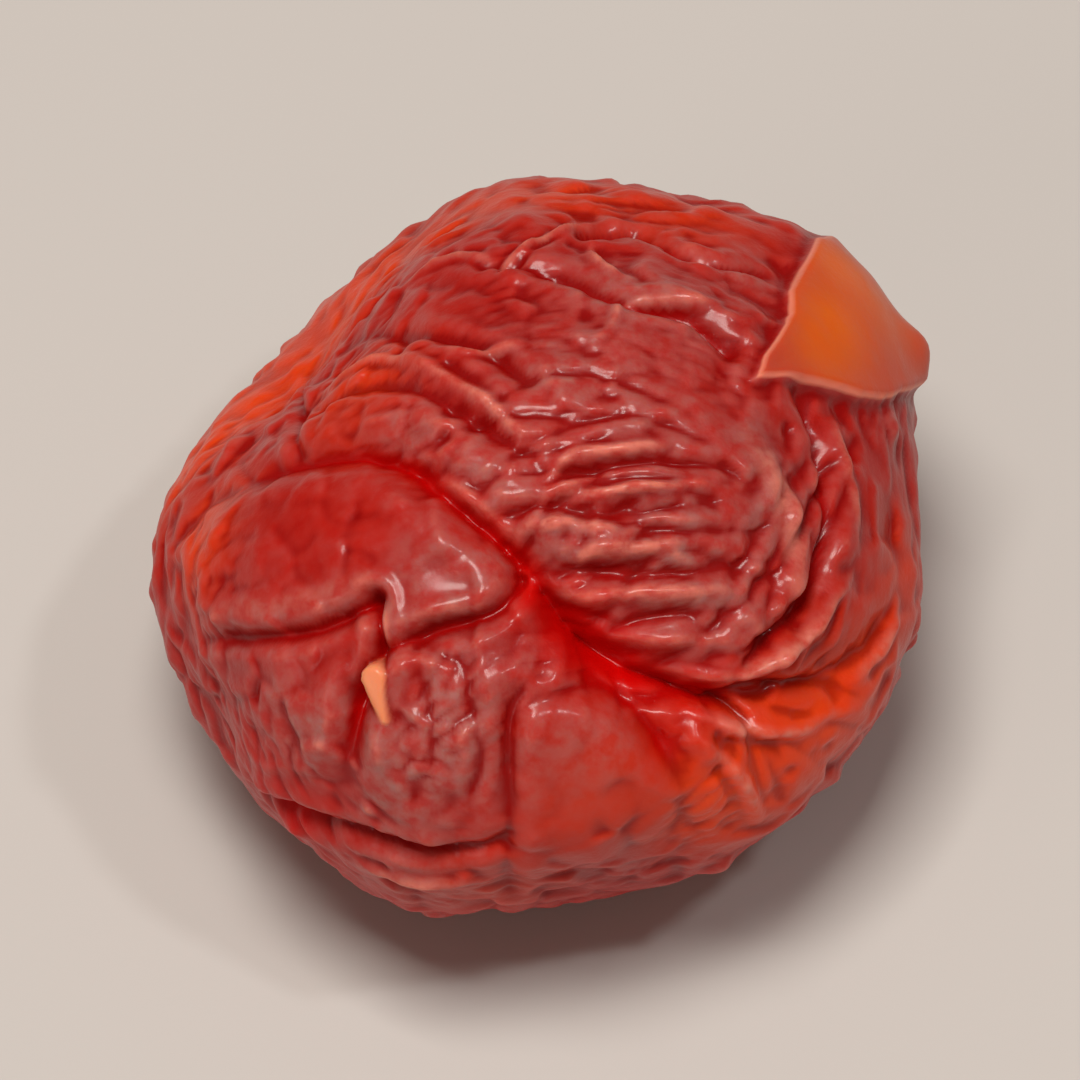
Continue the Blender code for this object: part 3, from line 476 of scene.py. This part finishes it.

# The skin's patterns, with their sizes across in millimetres: the flesh's two reds, the speckle that
# breaks up the painted sheen and highlights, the patches of more and less gloss, and the grain of dried
# sugar with its height
FLESH_MOTTLE = {"Scale": 1 / (2.6 * MM), "Detail": 3.0}
SHEEN_SPECKLE = {"Scale": 1 / (0.5 * MM), "Detail": 4.0}
GLOSS_PATCHES = {"Scale": 1 / (1.4 * MM), "Detail": 2.0}
SUGAR_GRAIN = {"Scale": 1 / (0.16 * MM), "Detail": 4.0}
SUGAR_RELIEF = {"Strength": 0.5, "Distance": 0.04 * MM}
# How much painted sheen and painted highlight the speckle leaves, how rough the gloss is, where the flap
# begins, in millimetres inside its outline, and where its pale rim lies, which is partly a painted
# highlight
PATCHY_SHEEN = {"From Min": 0.36, "From Max": 0.64, "To Min": 0.35, "To Max": 1.3}
PATCHY_GLOSS = {"From Min": 0.3, "From Max": 0.7, "To Min": 0.36, "To Max": 0.56}
FLAP_BORDER = {"From Min": -0.02, "From Max": 0.02}
FLAP_RIM = {"From Min": 0.04, "From Max": 0.13, "To Min": 0.9, "To Max": 0.0}

# What is the same all over the skin. Sugar syrup bends light by 1.47, red light sinks into the flesh
# about a millimetre while green and blue hardly do, and the dried syrup is a thin, nearly clear coat
SKIN_FINISH = {
    "Metallic": 0.0,
    "IOR": 1.47,
    "Specular IOR Level": 0.10,
    "Subsurface Weight": 0.6,
    "Subsurface Radius": (1.0, 0.16, 0.08),
    "Subsurface Scale": 1.3 * MM,
    "Coat Weight": 0.30,
    "Coat Roughness": 0.18,
    "Coat IOR": 1.47,
}
PAPER = "#c4c1bc"
PAPER_ROUGHNESS = 0.9

# What is painted on the mesh for the skin to read, a share each but for the depth in the flap
PAINTED = ("veil", "pale", "deep", "cut", "warm", "flap_depth", "flap_fade", "flap_orange", "sliver")
# Mix nodes name the same input more than once, so theirs are given by place
SHARE, FIRST, SECOND, MIXED = 0, 6, 7, 2

# The floor's reach, how far off the camera stands, half the height that it shows there and what it
# looks at, all in metres, and the width of its sensor in millimetres
FLOOR_REACH = 1.5
VIEW_DISTANCE = 0.35
VIEW_HALF_HEIGHT = 0.0145
SENSOR = 36
TARGET = Vector((0, 0, 0.0082))

# Soft boxes: place and size in metres, watts and colour. The main one hangs above, a weak one stands
# at the left, and a small one gives the glints on the right
SOFT_BOXES = (
    ((-0.04, -0.08, 0.42), 0.14, 1.6, "#fffaf4"),
    ((-0.30, -0.26, 0.16), 0.18, 0.20, "#fff6ee"),
    ((0.16, -0.10, 0.40), 0.03, 0.25, "#ffffff"),
)
# The light that the room throws back from all round is warm
DAYLIGHT = "#eec8bc"
DAYLIGHT_STRENGTH = 0.20


def unit(vectors):
    return vectors / np.linalg.norm(vectors, axis=-1, keepdims=True)


def onto_body(right, up, side):
    """The point of the plain body below a point of the sketch, or on its outline if it lies outside."""
    start = (right * RIGHT + up * UP) / HALF
    ray = FACING / HALF
    middle = -(start @ ray) / (ray @ ray)
    nearest = start + middle * ray
    beyond = 1 - nearest @ nearest
    if beyond < 0:
        return unit(nearest) * HALF
    return (nearest + side * math.sqrt(beyond / (ray @ ray)) * ray) * HALF


def swelling_at(places):
    """How far the swellings push out each place of the plain body."""
    total = np.zeros(len(places))
    for right, up, side, radius, height in SWELLINGS:
        squared = ((places - onto_body(right, up, side)) ** 2).sum(axis=1)
        total += height * np.exp(-squared / (2 * radius**2))
    return total


def moved(places):
    """How far the swelling of the body moves each of its places in the sketch plane."""
    way = unit(places / HALF**2) * swelling_at(places)[:, None] - SWOLLEN_MIDDLE
    return np.stack([way @ RIGHT, way @ UP], axis=1)


def seen_at(right, up, side):
    """The place of the plain body that is seen at a point of the sketch. The far side, which isn't
    seen, is sketched on the plain body itself."""
    place = onto_body(right, up, side)
    if side == NEAR:
        for _ in range(PLACING_ROUNDS):
            place = onto_body(*(np.array([right, up]) - moved(place[None])[0]), side)
    return place


def smooth_route(corners, steps=5):
    """A Catmull-Rom curve through the corners, whose columns may hold more than a place."""
    corners = np.asarray(corners, float)
    padded = np.vstack([2 * corners[0] - corners[1], corners, 2 * corners[-1] - corners[-2]])
    route = []
    for before, start, end, after in zip(padded, padded[1:], padded[2:], padded[3:]):
        for t in np.arange(steps) / steps:
            route.append(
                0.5 * (2 * start + (end - before) * t + (2 * before - 5 * start + 4 * end - after) * t**2
                       + (3 * start - before - 3 * end + after) * t**3)
            )
    route.append(corners[-1])
    return np.array(route)


def on_arc(corners, share):
    """The point a share of the way along the arc through three points."""
    start, middle, end = np.asarray(corners, float)
    return start + share * (4 * middle - 3 * start - end) + share**2 * (2 * start - 4 * middle + 2 * end)


def nearest_on(route, points):
    """For each point: its distance to the route, the way there, and how far along the route that is."""
    distance = np.full(len(points), np.inf)
    way = np.zeros_like(points)
    along = np.zeros(len(points))
    for index, (start, end) in enumerate(zip(route, route[1:])):
        leg = end - start
        share = np.clip((points - start) @ leg / (leg @ leg), 0, 1)
        offset = start + share[:, None] * leg - points
        length = np.linalg.norm(offset, axis=1)
        closer = length < distance
        distance[closer] = length[closer]
        way[closer] = offset[closer]
        along[closer] = index + share[closer]
    return distance, way, along


class Surface:
    """The fruit's surface as points on the plain body, with what the features add to them."""

    def __init__(self, directions):
        self.body = directions * HALF
        self.normals = unit(self.body / HALF**2)
        self.height = np.zeros(len(self.body))
        self.shift = np.zeros_like(self.body)
        self.cut = np.zeros(len(self.body))
        self.ridge = np.zeros(len(self.body))
        self.order = np.argsort(self.body[:, 0])
        self.rights = self.body[self.order, 0]

    def near(self, route, reach):
        """The indices of the points that lie within reach of the route's box."""
        low, high = route.min(axis=0) - reach, route.max(axis=0) + reach
        slab = self.order[slice(*np.searchsorted(self.rights, (low[0], high[0])))]
        rest = self.body[slab, 1:]
        return slab[((rest > low[1:]) & (rest < high[1:])).all(axis=1)]

    def swell(self, right, up, side, radius, height):
        squared = ((self.body - onto_body(right, up, side)) ** 2).sum(axis=1)
        self.height += height * np.exp(-squared / (2 * radius**2))

    def spot(self, right, up, side, radius):
        """A soft round spot, 1 in its middle."""
        squared = ((self.body - seen_at(right, up, side)) ** 2).sum(axis=1)
        return np.exp(-squared / (2 * radius**2))

    def spots(self, places):
        """Several soft spots with their shares, joined without passing 1."""
        bare = np.ones(len(self.body))
        for right, up, side, radius, share in places:
            bare *= 1 - share * self.spot(right, up, side, radius)
        return 1 - bare

    def carve(self, route, depths, width):
        """A sharp valley with raised lips, into which the skin on both sides is drawn."""
        touched = self.near(route, CREASE_REACH * width)
        distance, way, along = nearest_on(route, self.body[touched])
        depth = np.interp(along, np.arange(len(route)), depths)
        across = distance / width
        middle = np.exp(-(across ** np.where(depth < 0, RIDGE_POWER, VALLEY_POWER)))
        lip = np.exp(-(((across - LIP_PLACE) / LIP_SPREAD) ** 2))
        self.height[touched] += depth * (LIP * lip - middle)
        self.shift[touched] += (PINCH * depth * np.exp(-((across / PINCH_REACH) ** 2)))[:, None] * way
        self.cut[touched] = np.maximum(self.cut[touched], depth * middle)
        self.ridge[touched] = np.maximum(self.ridge[touched], -depth * middle)

    def crease(self, side, width, corners):
        route = smooth_route(corners)
        places = np.array([seen_at(right, up, side) for right, up, _ in route])
        self.carve(places, route[:, 2], width)

    def bundle(self, side, count, width, depth, starts, ends, generator):
        """Folds side by side between two arcs, none of them quite like its neighbour."""
        for share in (np.arange(count) + 0.5) / count:
            ends_of_fold = [on_arc(arc, share) for arc in (starts, ends)]
            run = ends_of_fold[1] - ends_of_fold[0]
            bow = generator.normal(BUNDLE_BOW, BUNDLE_BOW) * np.array([-run[1], run[0]])
            wander = generator.normal(0, BUNDLE_UNEVENNESS, (len(BUNDLE_PROFILE), 2))
            shares, fullness = BUNDLE_PROFILE.T
            along = shares[:, None]
            places = ends_of_fold[0] + along * run + 4 * along * (1 - along) * bow + wander
            depths = depth * fullness * generator.uniform(*BUNDLE_STRENGTH, len(shares))
            self.crease(side, width, np.column_stack([places, depths]))

    def points(self):
        return self.body + self.shift + self.normals * self.height[:, None]


def grain_at(places):
    """The direction of the wrinkles at each place, blended from the nearby grain marks."""
    marks = np.array([seen_at(right, up, side) for right, up, side, _ in GRAIN])
    angles = np.radians([angle for *_, angle in GRAIN])
    lines = np.cos(angles)[:, None] * RIGHT + np.sin(angles)[:, None] * UP
    outer = lines[:, :, None] * lines[:, None, :]
    squared = ((places[:, None, :] - marks) ** 2).sum(axis=2)
    weights = np.exp(-squared / (2 * GRAIN_REACH**2)) + FAR_MARK / squared
    blend = np.einsum("pm,mij->pij", weights, outer)
    normals = unit(places / HALF**2)
    flat = np.eye(3) - normals[:, :, None] * normals[:, None, :]
    _, axes = np.linalg.eigh(flat @ blend @ flat)
    return axes[:, :, -1]


def even_places(count, jitter, generator):
    """Places spread evenly over the plain body along a spiral, each moved a little."""
    index = np.arange(count) + 0.5
    height = 1 - 2 * index / count
    turn = math.pi * (1 + math.sqrt(5)) * index
    ring = np.sqrt(1 - height**2)
    spiral = np.stack([ring * np.cos(turn), ring * np.sin(turn), height], axis=1)
    return unit(spiral + generator.normal(0, jitter, spiral.shape)) * HALF


def waves(surface, patches, reach, spacing, seed):
    """Waves across the grain with a spread of about 1, whose zero lines lie about spacing apart."""
    generator = np.random.default_rng(seed)
    centres = even_places(patches, PATCH_JITTER * math.sqrt(4 * math.pi / patches), generator)
    along = grain_at(centres)
    across = np.cross(unit(centres / HALF**2), along)
    turns = generator.normal(0, FOLD_TURN, (patches, 1))
    across = across * np.cos(turns) + along * np.sin(turns)
    phases = generator.uniform(0, 2 * math.pi, patches)
    total = np.zeros(len(surface.body))
    power = np.full(len(surface.body), TINY)
    for centre, way, phase in zip(centres, across, phases):
        touched = surface.near(centre[None], PATCH_END * reach)
        offset = surface.body[touched] - centre
        weight = np.exp(-(offset**2).sum(axis=1) / (2 * reach**2))
        total[touched] += weight * np.cos(math.pi * (offset @ way) / spacing + phase)
        power[touched] += weight**2
    return total / np.sqrt(power / 2)


def wrinkled_share(surface):
    """How wrinkled the skin is, from 0 on a smooth spot to 1."""
    share = np.ones(len(surface.body))
    for right, up, side, radius, lack in SMOOTH_SPOTS:
        squared = ((surface.body - seen_at(right, up, side)) ** 2).sum(axis=1)
        share *= 1 - lack * np.exp(-((squared / (2 * radius**2)) ** 2))
    return share


def outer_share(surface):
    """From 0 in the middle of the sketch to 1 on the sides and the back."""
    return (1 - np.tanh((surface.body @ FACING - COARSE_EDGE) / COARSE_FADE)) / 2


def lumps(points, size):
    """Even noise, about -0.7 to 0.7, in lumps of the given size."""
    return np.array([noise.noise(Vector(place)) for place in points / size])


def add_folds(surface, patches, reach, spacing, height, seed, share):
    """Folds with sharp valleys in some places and sharp crests in others, which lean over a little."""
    wave = np.abs(waves(surface, patches, reach, spacing, seed))
    rise = np.tanh(np.sqrt(wave**2 + FOLD_ROUNDING**2)) - FOLD_MIDDLE
    character = np.clip(CHARACTER_MIDDLE + CHARACTER_CONTRAST * lumps(surface.body, CHARACTER_SIZE), -1, 1)
    rise *= height * share * character
    down = -UP + surface.normals * (surface.normals @ UP)[:, None]
    surface.height += rise
    surface.shift += FOLD_LEAN * rise[:, None] * down


def add_scar(surface):
    """A pit with a raised rim, on the far side."""
    right, up, radius, depth = SCAR
    centre = onto_body(right, up, FAR)
    across = np.linalg.norm(surface.body - centre, axis=1) / radius
    surface.height -= depth * np.exp(-(across**2))
    surface.height += SCAR_RIM * depth * np.exp(-(((across - SCAR_RIM_PLACE) / SCAR_RIM_SPREAD) ** 2))


def inside_depth(corners, points):
    """How far each 2D point lies inside the outline, or a negative distance outside it."""
    corners = np.asarray(corners, float)
    distance, _, _ = nearest_on(np.vstack([corners, corners[:1]]), points)
    inside = np.zeros(len(points), bool)
    for start, end in zip(corners, np.roll(corners, -1, axis=0)):
        spans = (start[1] > points[:, 1]) != (end[1] > points[:, 1])
        rise = end[1] - start[1] or TINY
        crossing = start[0] + (points[:, 1] - start[1]) / rise * (end[0] - start[0])
        inside ^= spans & (points[:, 0] < crossing)
    return np.where(inside, distance, -distance)


def add_flap(surface, swollen):
    """The torn skin lies on the swollen shoulder as a smooth sheet with a crisp edge in front. Returns
    how far inside the flap each point lies, and how much of the flap is left there behind the outline."""
    sketch = np.stack([surface.body @ RIGHT, surface.body @ UP], axis=1)
    depth = inside_depth(FLAP_CORNERS, sketch + moved(surface.body))
    behind = np.clip(-(surface.body @ FACING) - FLAP_WRAP, 0, None)
    fade = np.exp(-((behind / FLAP_FADE) ** 2))
    cover = (1 + np.tanh(depth / (2 * FLAP_EDGE))) / 2 * fade
    shows = 1 - (1 - FLAP_SHOWS) * cover
    curl = FLAP_CURL * np.exp(-np.clip(depth, 0, None) / FLAP_CURL_REACH)
    surface.height = surface.height * shows + cover * ((1 - FLAP_SHOWS) * swollen + FLAP_LIFT + curl)
    surface.shift *= shows[:, None]
    surface.swell(*FLAP_TIP)
    return depth, fade


def settle(points):
    """Flattens the underside softly where the fruit rests, and fits the whole to the solid's box."""
    ground = REST_SINK - HALF[2]
    above = points[:, 2] - ground
    soft = np.clip((above + REST_SOFTNESS) ** 2 / (4 * REST_SOFTNESS), 0, None)
    soft[above < -REST_SOFTNESS] = 0
    points[:, 2] = np.where(above > REST_SOFTNESS, above, soft)
    low, high = points.min(axis=0), points.max(axis=0)
    return FRUIT_LOW + (points - low) * FRUIT_SIZE / (high - low)


def add_sliver(surface):
    """A thin flake of flesh stands up in the tear. Returns how much of each point is sliver."""
    route = np.array([seen_at(right, up, NEAR) for right, up in smooth_route(SLIVER)])
    distance, _, along = nearest_on(route, surface.body)
    width = np.interp(along, (0, len(route) - 1), SLIVER_WIDTH)
    share = (1 - np.tanh((distance - width) / SLIVER_EDGE)) / 2
    surface.height += share * (SLIVER_HEIGHT - surface.height)
    surface.shift *= 1 - share[:, None]
    return share


def add_crumple(surface, share, edges):
    """Small flat facets, each tilted its own way, as of foil that was crushed and smoothed out again."""
    places = surface.body / CRUMPLE_SIZE
    centres = np.array([noise.voronoi(Vector(place))[1][0] for place in places])
    tilts = np.stack([lumps(centres + shift, CRUMPLE_CHANGE) for shift in CRUMPLE_SHIFTS], axis=1)
    facets = ((places - centres) * tilts).sum(axis=1) * CRUMPLE_SIZE * CRUMPLE_SLOPE
    surface.height += share * blurred(facets, edges, CRUMPLE_SOFTNESS)


def fruit_surface(directions, edges):
    """The finished surface, and at each point how far inside the flap it lies, how much of the flap is
    left there and the share of sliver."""
    surface = Surface(directions)
    for swelling in SWELLINGS:
        surface.swell(*swelling)
    swollen = surface.height.copy()
    surface.height += LUMP_HEIGHT * lumps(surface.body, LUMP_SIZE)
    wrinkled = wrinkled_share(surface)
    add_folds(surface, *COARSE_FOLDS, outer_share(surface) * wrinkled)
    add_folds(surface, *FINE_FOLDS, wrinkled)
    strong = wrinkled * (1 + surface.spots(WRINKLED_SPOTS))
    add_folds(surface, *SMALL_WRINKLES, strong)
    add_folds(surface, *TINY_WRINKLES, strong)
    add_crumple(surface, SMOOTH_CRUMPLE + (1 - SMOOTH_CRUMPLE) * wrinkled, edges)
    generator = np.random.default_rng(BUNDLE_SEED)
    for bundle in BUNDLES:
        surface.bundle(*bundle, generator)
    for crease in CREASES:
        surface.crease(*crease)
    for side, width, corners in (*RIDGES, *THIN_RIDGES):
        surface.crease(side, width, [(right, up, -height) for right, up, height in corners])
    add_scar(surface)
    surface.height = blurred(surface.height, edges, RIDGE_SOFTNESS)
    flap_depth, flap_fade = add_flap(surface, swollen)
    sliver = add_sliver(surface)
    return surface, flap_depth, flap_fade, sliver


def ball_mesh(name, cuts, crowding):
    """A ball of nearly square faces, which lie closer together on the side with the deep crease."""
    grid = bmesh.new()
    bmesh.ops.create_cube(grid, size=2)
    bmesh.ops.subdivide_edges(grid, edges=grid.edges[:], cuts=cuts, use_grid_fill=True)
    mesh = bpy.data.meshes.new(name)
    grid.to_mesh(mesh)
    grid.free()
    corners = np.empty(len(mesh.vertices) * 3)
    mesh.vertices.foreach_get("co", corners)
    even = unit(np.tan(corners.reshape(-1, 3) * math.pi / 4))
    return mesh, unit(even + crowding * FACING)


def blurred(values, edges, rounds):
    """Each point's value averaged with its neighbours', round after round."""
    size = len(values)
    neighbours = np.bincount(edges.ravel(), minlength=size)
    for _ in range(rounds):
        total = np.bincount(edges[:, 0], values[edges[:, 1]], size)
        total += np.bincount(edges[:, 1], values[edges[:, 0]], size)
        values = (values + total / neighbours) / 2
    return values


def spread(values, low, high):
    """0 at low, 1 at high, and straight between them."""
    return np.clip((values - low) / (high - low), 0, 1)


def paint(mesh, name, values):
    """Keeps a value for each point of the mesh, which the material reads by name."""
    mesh.attributes.new(name, "FLOAT", "POINT").data.foreach_set("value", values.astype(np.float32))


def dried_fruit():
    mesh, directions = ball_mesh("candied_fruit", GRID_CUTS, CROWDING)
    edges = np.empty(len(mesh.edges) * 2, int)
    mesh.edges.foreach_get("vertices", edges)
    edges = edges.reshape(-1, 2)
    surface, flap_depth, flap_fade, sliver = fruit_surface(directions, edges)
    mesh.vertices.foreach_set("co", (settle(surface.points()) * MM).ravel())
    close = blurred(surface.height, edges, CLOSE_ROUNDS)
    wide = blurred(close, edges, WIDE_ROUNDS)
    relief = (surface.height - close) / CLOSE_RELIEF + (surface.height - wide) / WIDE_RELIEF
    crest, valley = spread(relief, 0, 1), spread(-relief, 0, 1)
    # Painted red glow in the deep creases and the glowing spots
    cut = 1 - (1 - spread(surface.cut, *GLOWING_CUT)) * (1 - surface.spots(GLOWING_SPOTS))
    # Painted sheen of the overhead light
    sheen = surface.spots(SHEEN_SPOTS)
    # Painted orange glow where light shines through thin skin
    warm = surface.spots(SHINE_THROUGH_SPOTS)
    # The painted sheen is kept out of valleys and added on crests
    veil = (THIN_SHEEN + THICK_SHEEN * sheen) * (1 - VALLEY_CLEAN * valley) + CREST_SHEEN * crest
    # Painted shade: valleys, and the deep spots off the crests, turn a deeper red
    deep = 1 - (1 - VALLEY_SHADE * valley) * (1 - surface.spots(DEEP_SPOTS) * (1 - crest))
    # Painted highlights on crests and ridges
    pale = HIGHLIGHT_BARE + (1 - HIGHLIGHT_BARE) * sheen
    pale = spread(relief, *HIGHLIGHT_CREST) * pale + spread(surface.ridge, *HIGHLIGHT_RIDGE)
    paint(mesh, "veil", np.clip(veil * (1 - cut) * (1 - SHINE_THROUGH_CLEAN * warm), 0, 1))
    paint(mesh, "pale", np.clip(pale, 0, 1) * (1 - cut))
    paint(mesh, "deep", deep * (1 - SHINE_THROUGH_LESS_SHADE * warm))
    paint(mesh, "cut", cut)
    paint(mesh, "warm", warm)
    paint(mesh, "flap_depth", flap_depth)
    paint(mesh, "flap_fade", flap_fade)
    paint(mesh, "flap_orange", surface.spots(ORANGE_SPOTS))
    paint(mesh, "sliver", sliver)
    mesh.shade_smooth()
    fruit = bpy.data.objects.new("candied_fruit", mesh)
    bpy.context.scene.collection.objects.link(fruit)
    return fruit


def linear(colour):
    """An sRGB hex colour as linear red, green, blue and alpha."""
    shares = [int(colour[place:place + 2], 16) / 255 for place in (1, 3, 5)]
    return [s / 12.92 if s <= 0.04045 else ((s + 0.055) / 1.055) ** 2.4 for s in shares] + [1.0]


def add(tree, kind, inputs=None, **settings):
    """Adds a node. An input takes a value, or another node's output, which is linked to it."""
    node = tree.nodes.new(kind)
    for name, value in settings.items():
        setattr(node, name, value)
    for name, value in (inputs or {}).items():
        if isinstance(value, bpy.types.NodeSocket):
            tree.links.new(value, node.inputs[name])
        else:
            node.inputs[name].default_value = value
    return node


def candied_skin():
    """Dried cherry skin soaked in sugar syrup: light sinks in and comes back red, and the dried syrup
    gives a wet gloss. Painted into its colour are an orange glow where light shines through thin skin,
    shade in the sharp valleys as a darker red, a red glow in the creases, the grey-pink sheen of the
    overhead light on the glaze, and highlights on crests and ridges."""
    material = bpy.data.materials.new("candied_cherry_skin")
    material.use_nodes = True
    tree = material.node_tree
    shader = tree.nodes["Principled BSDF"]
    painted = {
        name: add(tree, "ShaderNodeAttribute", attribute_name=name).outputs["Fac"] for name in PAINTED
    }
    place = add(tree, "ShaderNodeTexCoord").outputs["Object"]
    mottle = add(tree, "ShaderNodeTexNoise", {"Vector": place, **FLESH_MOTTLE})
    flesh = add(tree, "ShaderNodeMix", {
        SHARE: mottle.outputs["Fac"], FIRST: linear(FLESH_DARK), SECOND: linear(FLESH_LIGHT),
    }, data_type="RGBA")
    # Painted orange glow where light shines through thin skin
    warmed = add(tree, "ShaderNodeMix", {
        SHARE: painted["warm"], FIRST: flesh.outputs[MIXED], SECOND: linear(SHINE_THROUGH_ORANGE),
    }, data_type="RGBA")
    # Painted shade: a deeper red in the valleys and the deep spots
    deepened = add(tree, "ShaderNodeMix", {
        SHARE: painted["deep"], FIRST: warmed.outputs[MIXED], SECOND: linear(DEEP_SHADE_RED),
    }, data_type="RGBA")
    # Speckle that breaks up the painted sheen and highlights
    speckle = add(tree, "ShaderNodeTexNoise", {"Vector": place, **SHEEN_SPECKLE})
    patchy = add(tree, "ShaderNodeMapRange", {"Value": speckle.outputs["Fac"], **PATCHY_SHEEN})
    veil = add(tree, "ShaderNodeMath", {0: painted["veil"], 1: patchy.outputs["Result"]},
               operation="MULTIPLY", use_clamp=True)
    # Painted sheen of the overhead light
    veiled = add(tree, "ShaderNodeMix", {
        SHARE: veil.outputs[0], FIRST: deepened.outputs[MIXED], SECOND: linear(SHEEN_PINK),
    }, data_type="RGBA")
    # Painted highlights on crests and ridges
    pale = add(tree, "ShaderNodeMath", {0: painted["pale"], 1: patchy.outputs["Result"]},
               operation="MULTIPLY", use_clamp=True)
    crested = add(tree, "ShaderNodeMix", {
        SHARE: pale.outputs[0], FIRST: veiled.outputs[MIXED], SECOND: linear(HIGHLIGHT_PINK),
    }, data_type="RGBA")
    # Painted red glow in the creases and hollows
    cut = add(tree, "ShaderNodeMix", {
        SHARE: painted["cut"], FIRST: crested.outputs[MIXED], SECOND: linear(GLOWING_RED),
    }, data_type="RGBA")
    flap_share = add(tree, "ShaderNodeMapRange", {
        "Value": painted["flap_depth"], **FLAP_BORDER, "To Max": painted["flap_fade"],
    })
    # The flap's pale torn edge, partly a painted highlight where the edge catches the light
    edge_share = add(tree, "ShaderNodeMapRange", {"Value": painted["flap_depth"], **FLAP_RIM})
    edge_seen = add(tree, "ShaderNodeMath", {0: edge_share.outputs["Result"], 1: painted["flap_fade"]},
                    operation="MULTIPLY")
    flap_film = add(tree, "ShaderNodeMix", {
        SHARE: painted["flap_orange"], FIRST: linear(FLAP_THICK), SECOND: linear(FLAP_THIN),
    }, data_type="RGBA")
    flap_skin = add(tree, "ShaderNodeMix", {
        SHARE: edge_seen.outputs[0], FIRST: flap_film.outputs[MIXED], SECOND: linear(TORN_EDGE_HIGHLIGHT),
    }, data_type="RGBA")
    flap = add(tree, "ShaderNodeMix", {
        SHARE: flap_share.outputs["Result"], FIRST: cut.outputs[MIXED], SECOND: flap_skin.outputs[MIXED],
    }, data_type="RGBA")
    sliver = add(tree, "ShaderNodeMix", {
        SHARE: painted["sliver"], FIRST: flap.outputs[MIXED], SECOND: linear(SLIVER_FLESH),
    }, data_type="RGBA")
    tree.links.new(sliver.outputs[MIXED], shader.inputs["Base Color"])
    gloss = add(tree, "ShaderNodeTexNoise", {"Vector": place, **GLOSS_PATCHES})
    roughness = add(tree, "ShaderNodeMapRange", {"Value": gloss.outputs["Fac"], **PATCHY_GLOSS})
    tree.links.new(roughness.outputs["Result"], shader.inputs["Roughness"])
    grain = add(tree, "ShaderNodeTexNoise", {"Vector": place, **SUGAR_GRAIN})
    bump = add(tree, "ShaderNodeBump", {"Height": grain.outputs["Fac"], **SUGAR_RELIEF})
    tree.links.new(bump.outputs["Normal"], shader.inputs["Normal"])
    for name, value in SKIN_FINISH.items():
        shader.inputs[name].default_value = value
    return material


def matt_paper():
    """Matt pale grey backdrop paper: no gloss, so that it only takes the soft shadow."""
    material = bpy.data.materials.new("matt_backdrop_paper")
    material.use_nodes = True
    shader = material.node_tree.nodes["Principled BSDF"]
    shader.inputs["Base Color"].default_value = linear(PAPER)
    shader.inputs["Roughness"].default_value = PAPER_ROUGHNESS
    return material


def floor():
    sheet = bmesh.new()
    bmesh.ops.create_grid(sheet, x_segments=1, y_segments=1, size=FLOOR_REACH)
    mesh = bpy.data.meshes.new("floor")
    sheet.to_mesh(mesh)
    sheet.free()
    mesh.materials.append(matt_paper())
    ground = bpy.data.objects.new("floor", mesh)
    bpy.context.scene.collection.objects.link(ground)
    return ground


def aim(thing, place):
    thing.location = place
    thing.rotation_euler = (TARGET - Vector(place)).to_track_quat("-Z", "Y").to_euler()
    bpy.context.scene.collection.objects.link(thing)


def camera():
    """Looks down at the fruit as the photograph does, from as far away as its flat perspective shows."""
    lens = bpy.data.cameras.new("camera")
    lens.lens = SENSOR / 2 * VIEW_DISTANCE / VIEW_HALF_HEIGHT
    lens.sensor_width = SENSOR
    seat = bpy.data.objects.new("camera", lens)
    aim(seat, TARGET + VIEW_DISTANCE * Vector(FACING))
    bpy.context.scene.camera = seat


def studio():
    for place, size, watts, colour in SOFT_BOXES:
        light = bpy.data.lights.new("soft_box", "AREA")
        light.size = size
        light.energy = watts
        light.color = linear(colour)[:3]
        aim(bpy.data.objects.new("soft_box", light), place)
    world = bpy.data.worlds.new("daylight")
    world.use_nodes = True
    world.node_tree.nodes["Background"].inputs["Color"].default_value = linear(DAYLIGHT)
    world.node_tree.nodes["Background"].inputs["Strength"].default_value = DAYLIGHT_STRENGTH
    bpy.context.scene.world = world
    bpy.context.scene.view_settings.view_transform = "Standard"


fruit = dried_fruit()
fruit.data.materials.append(candied_skin())
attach(fruit, "root")
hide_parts("dried_cherry")
floor()
camera()
studio()
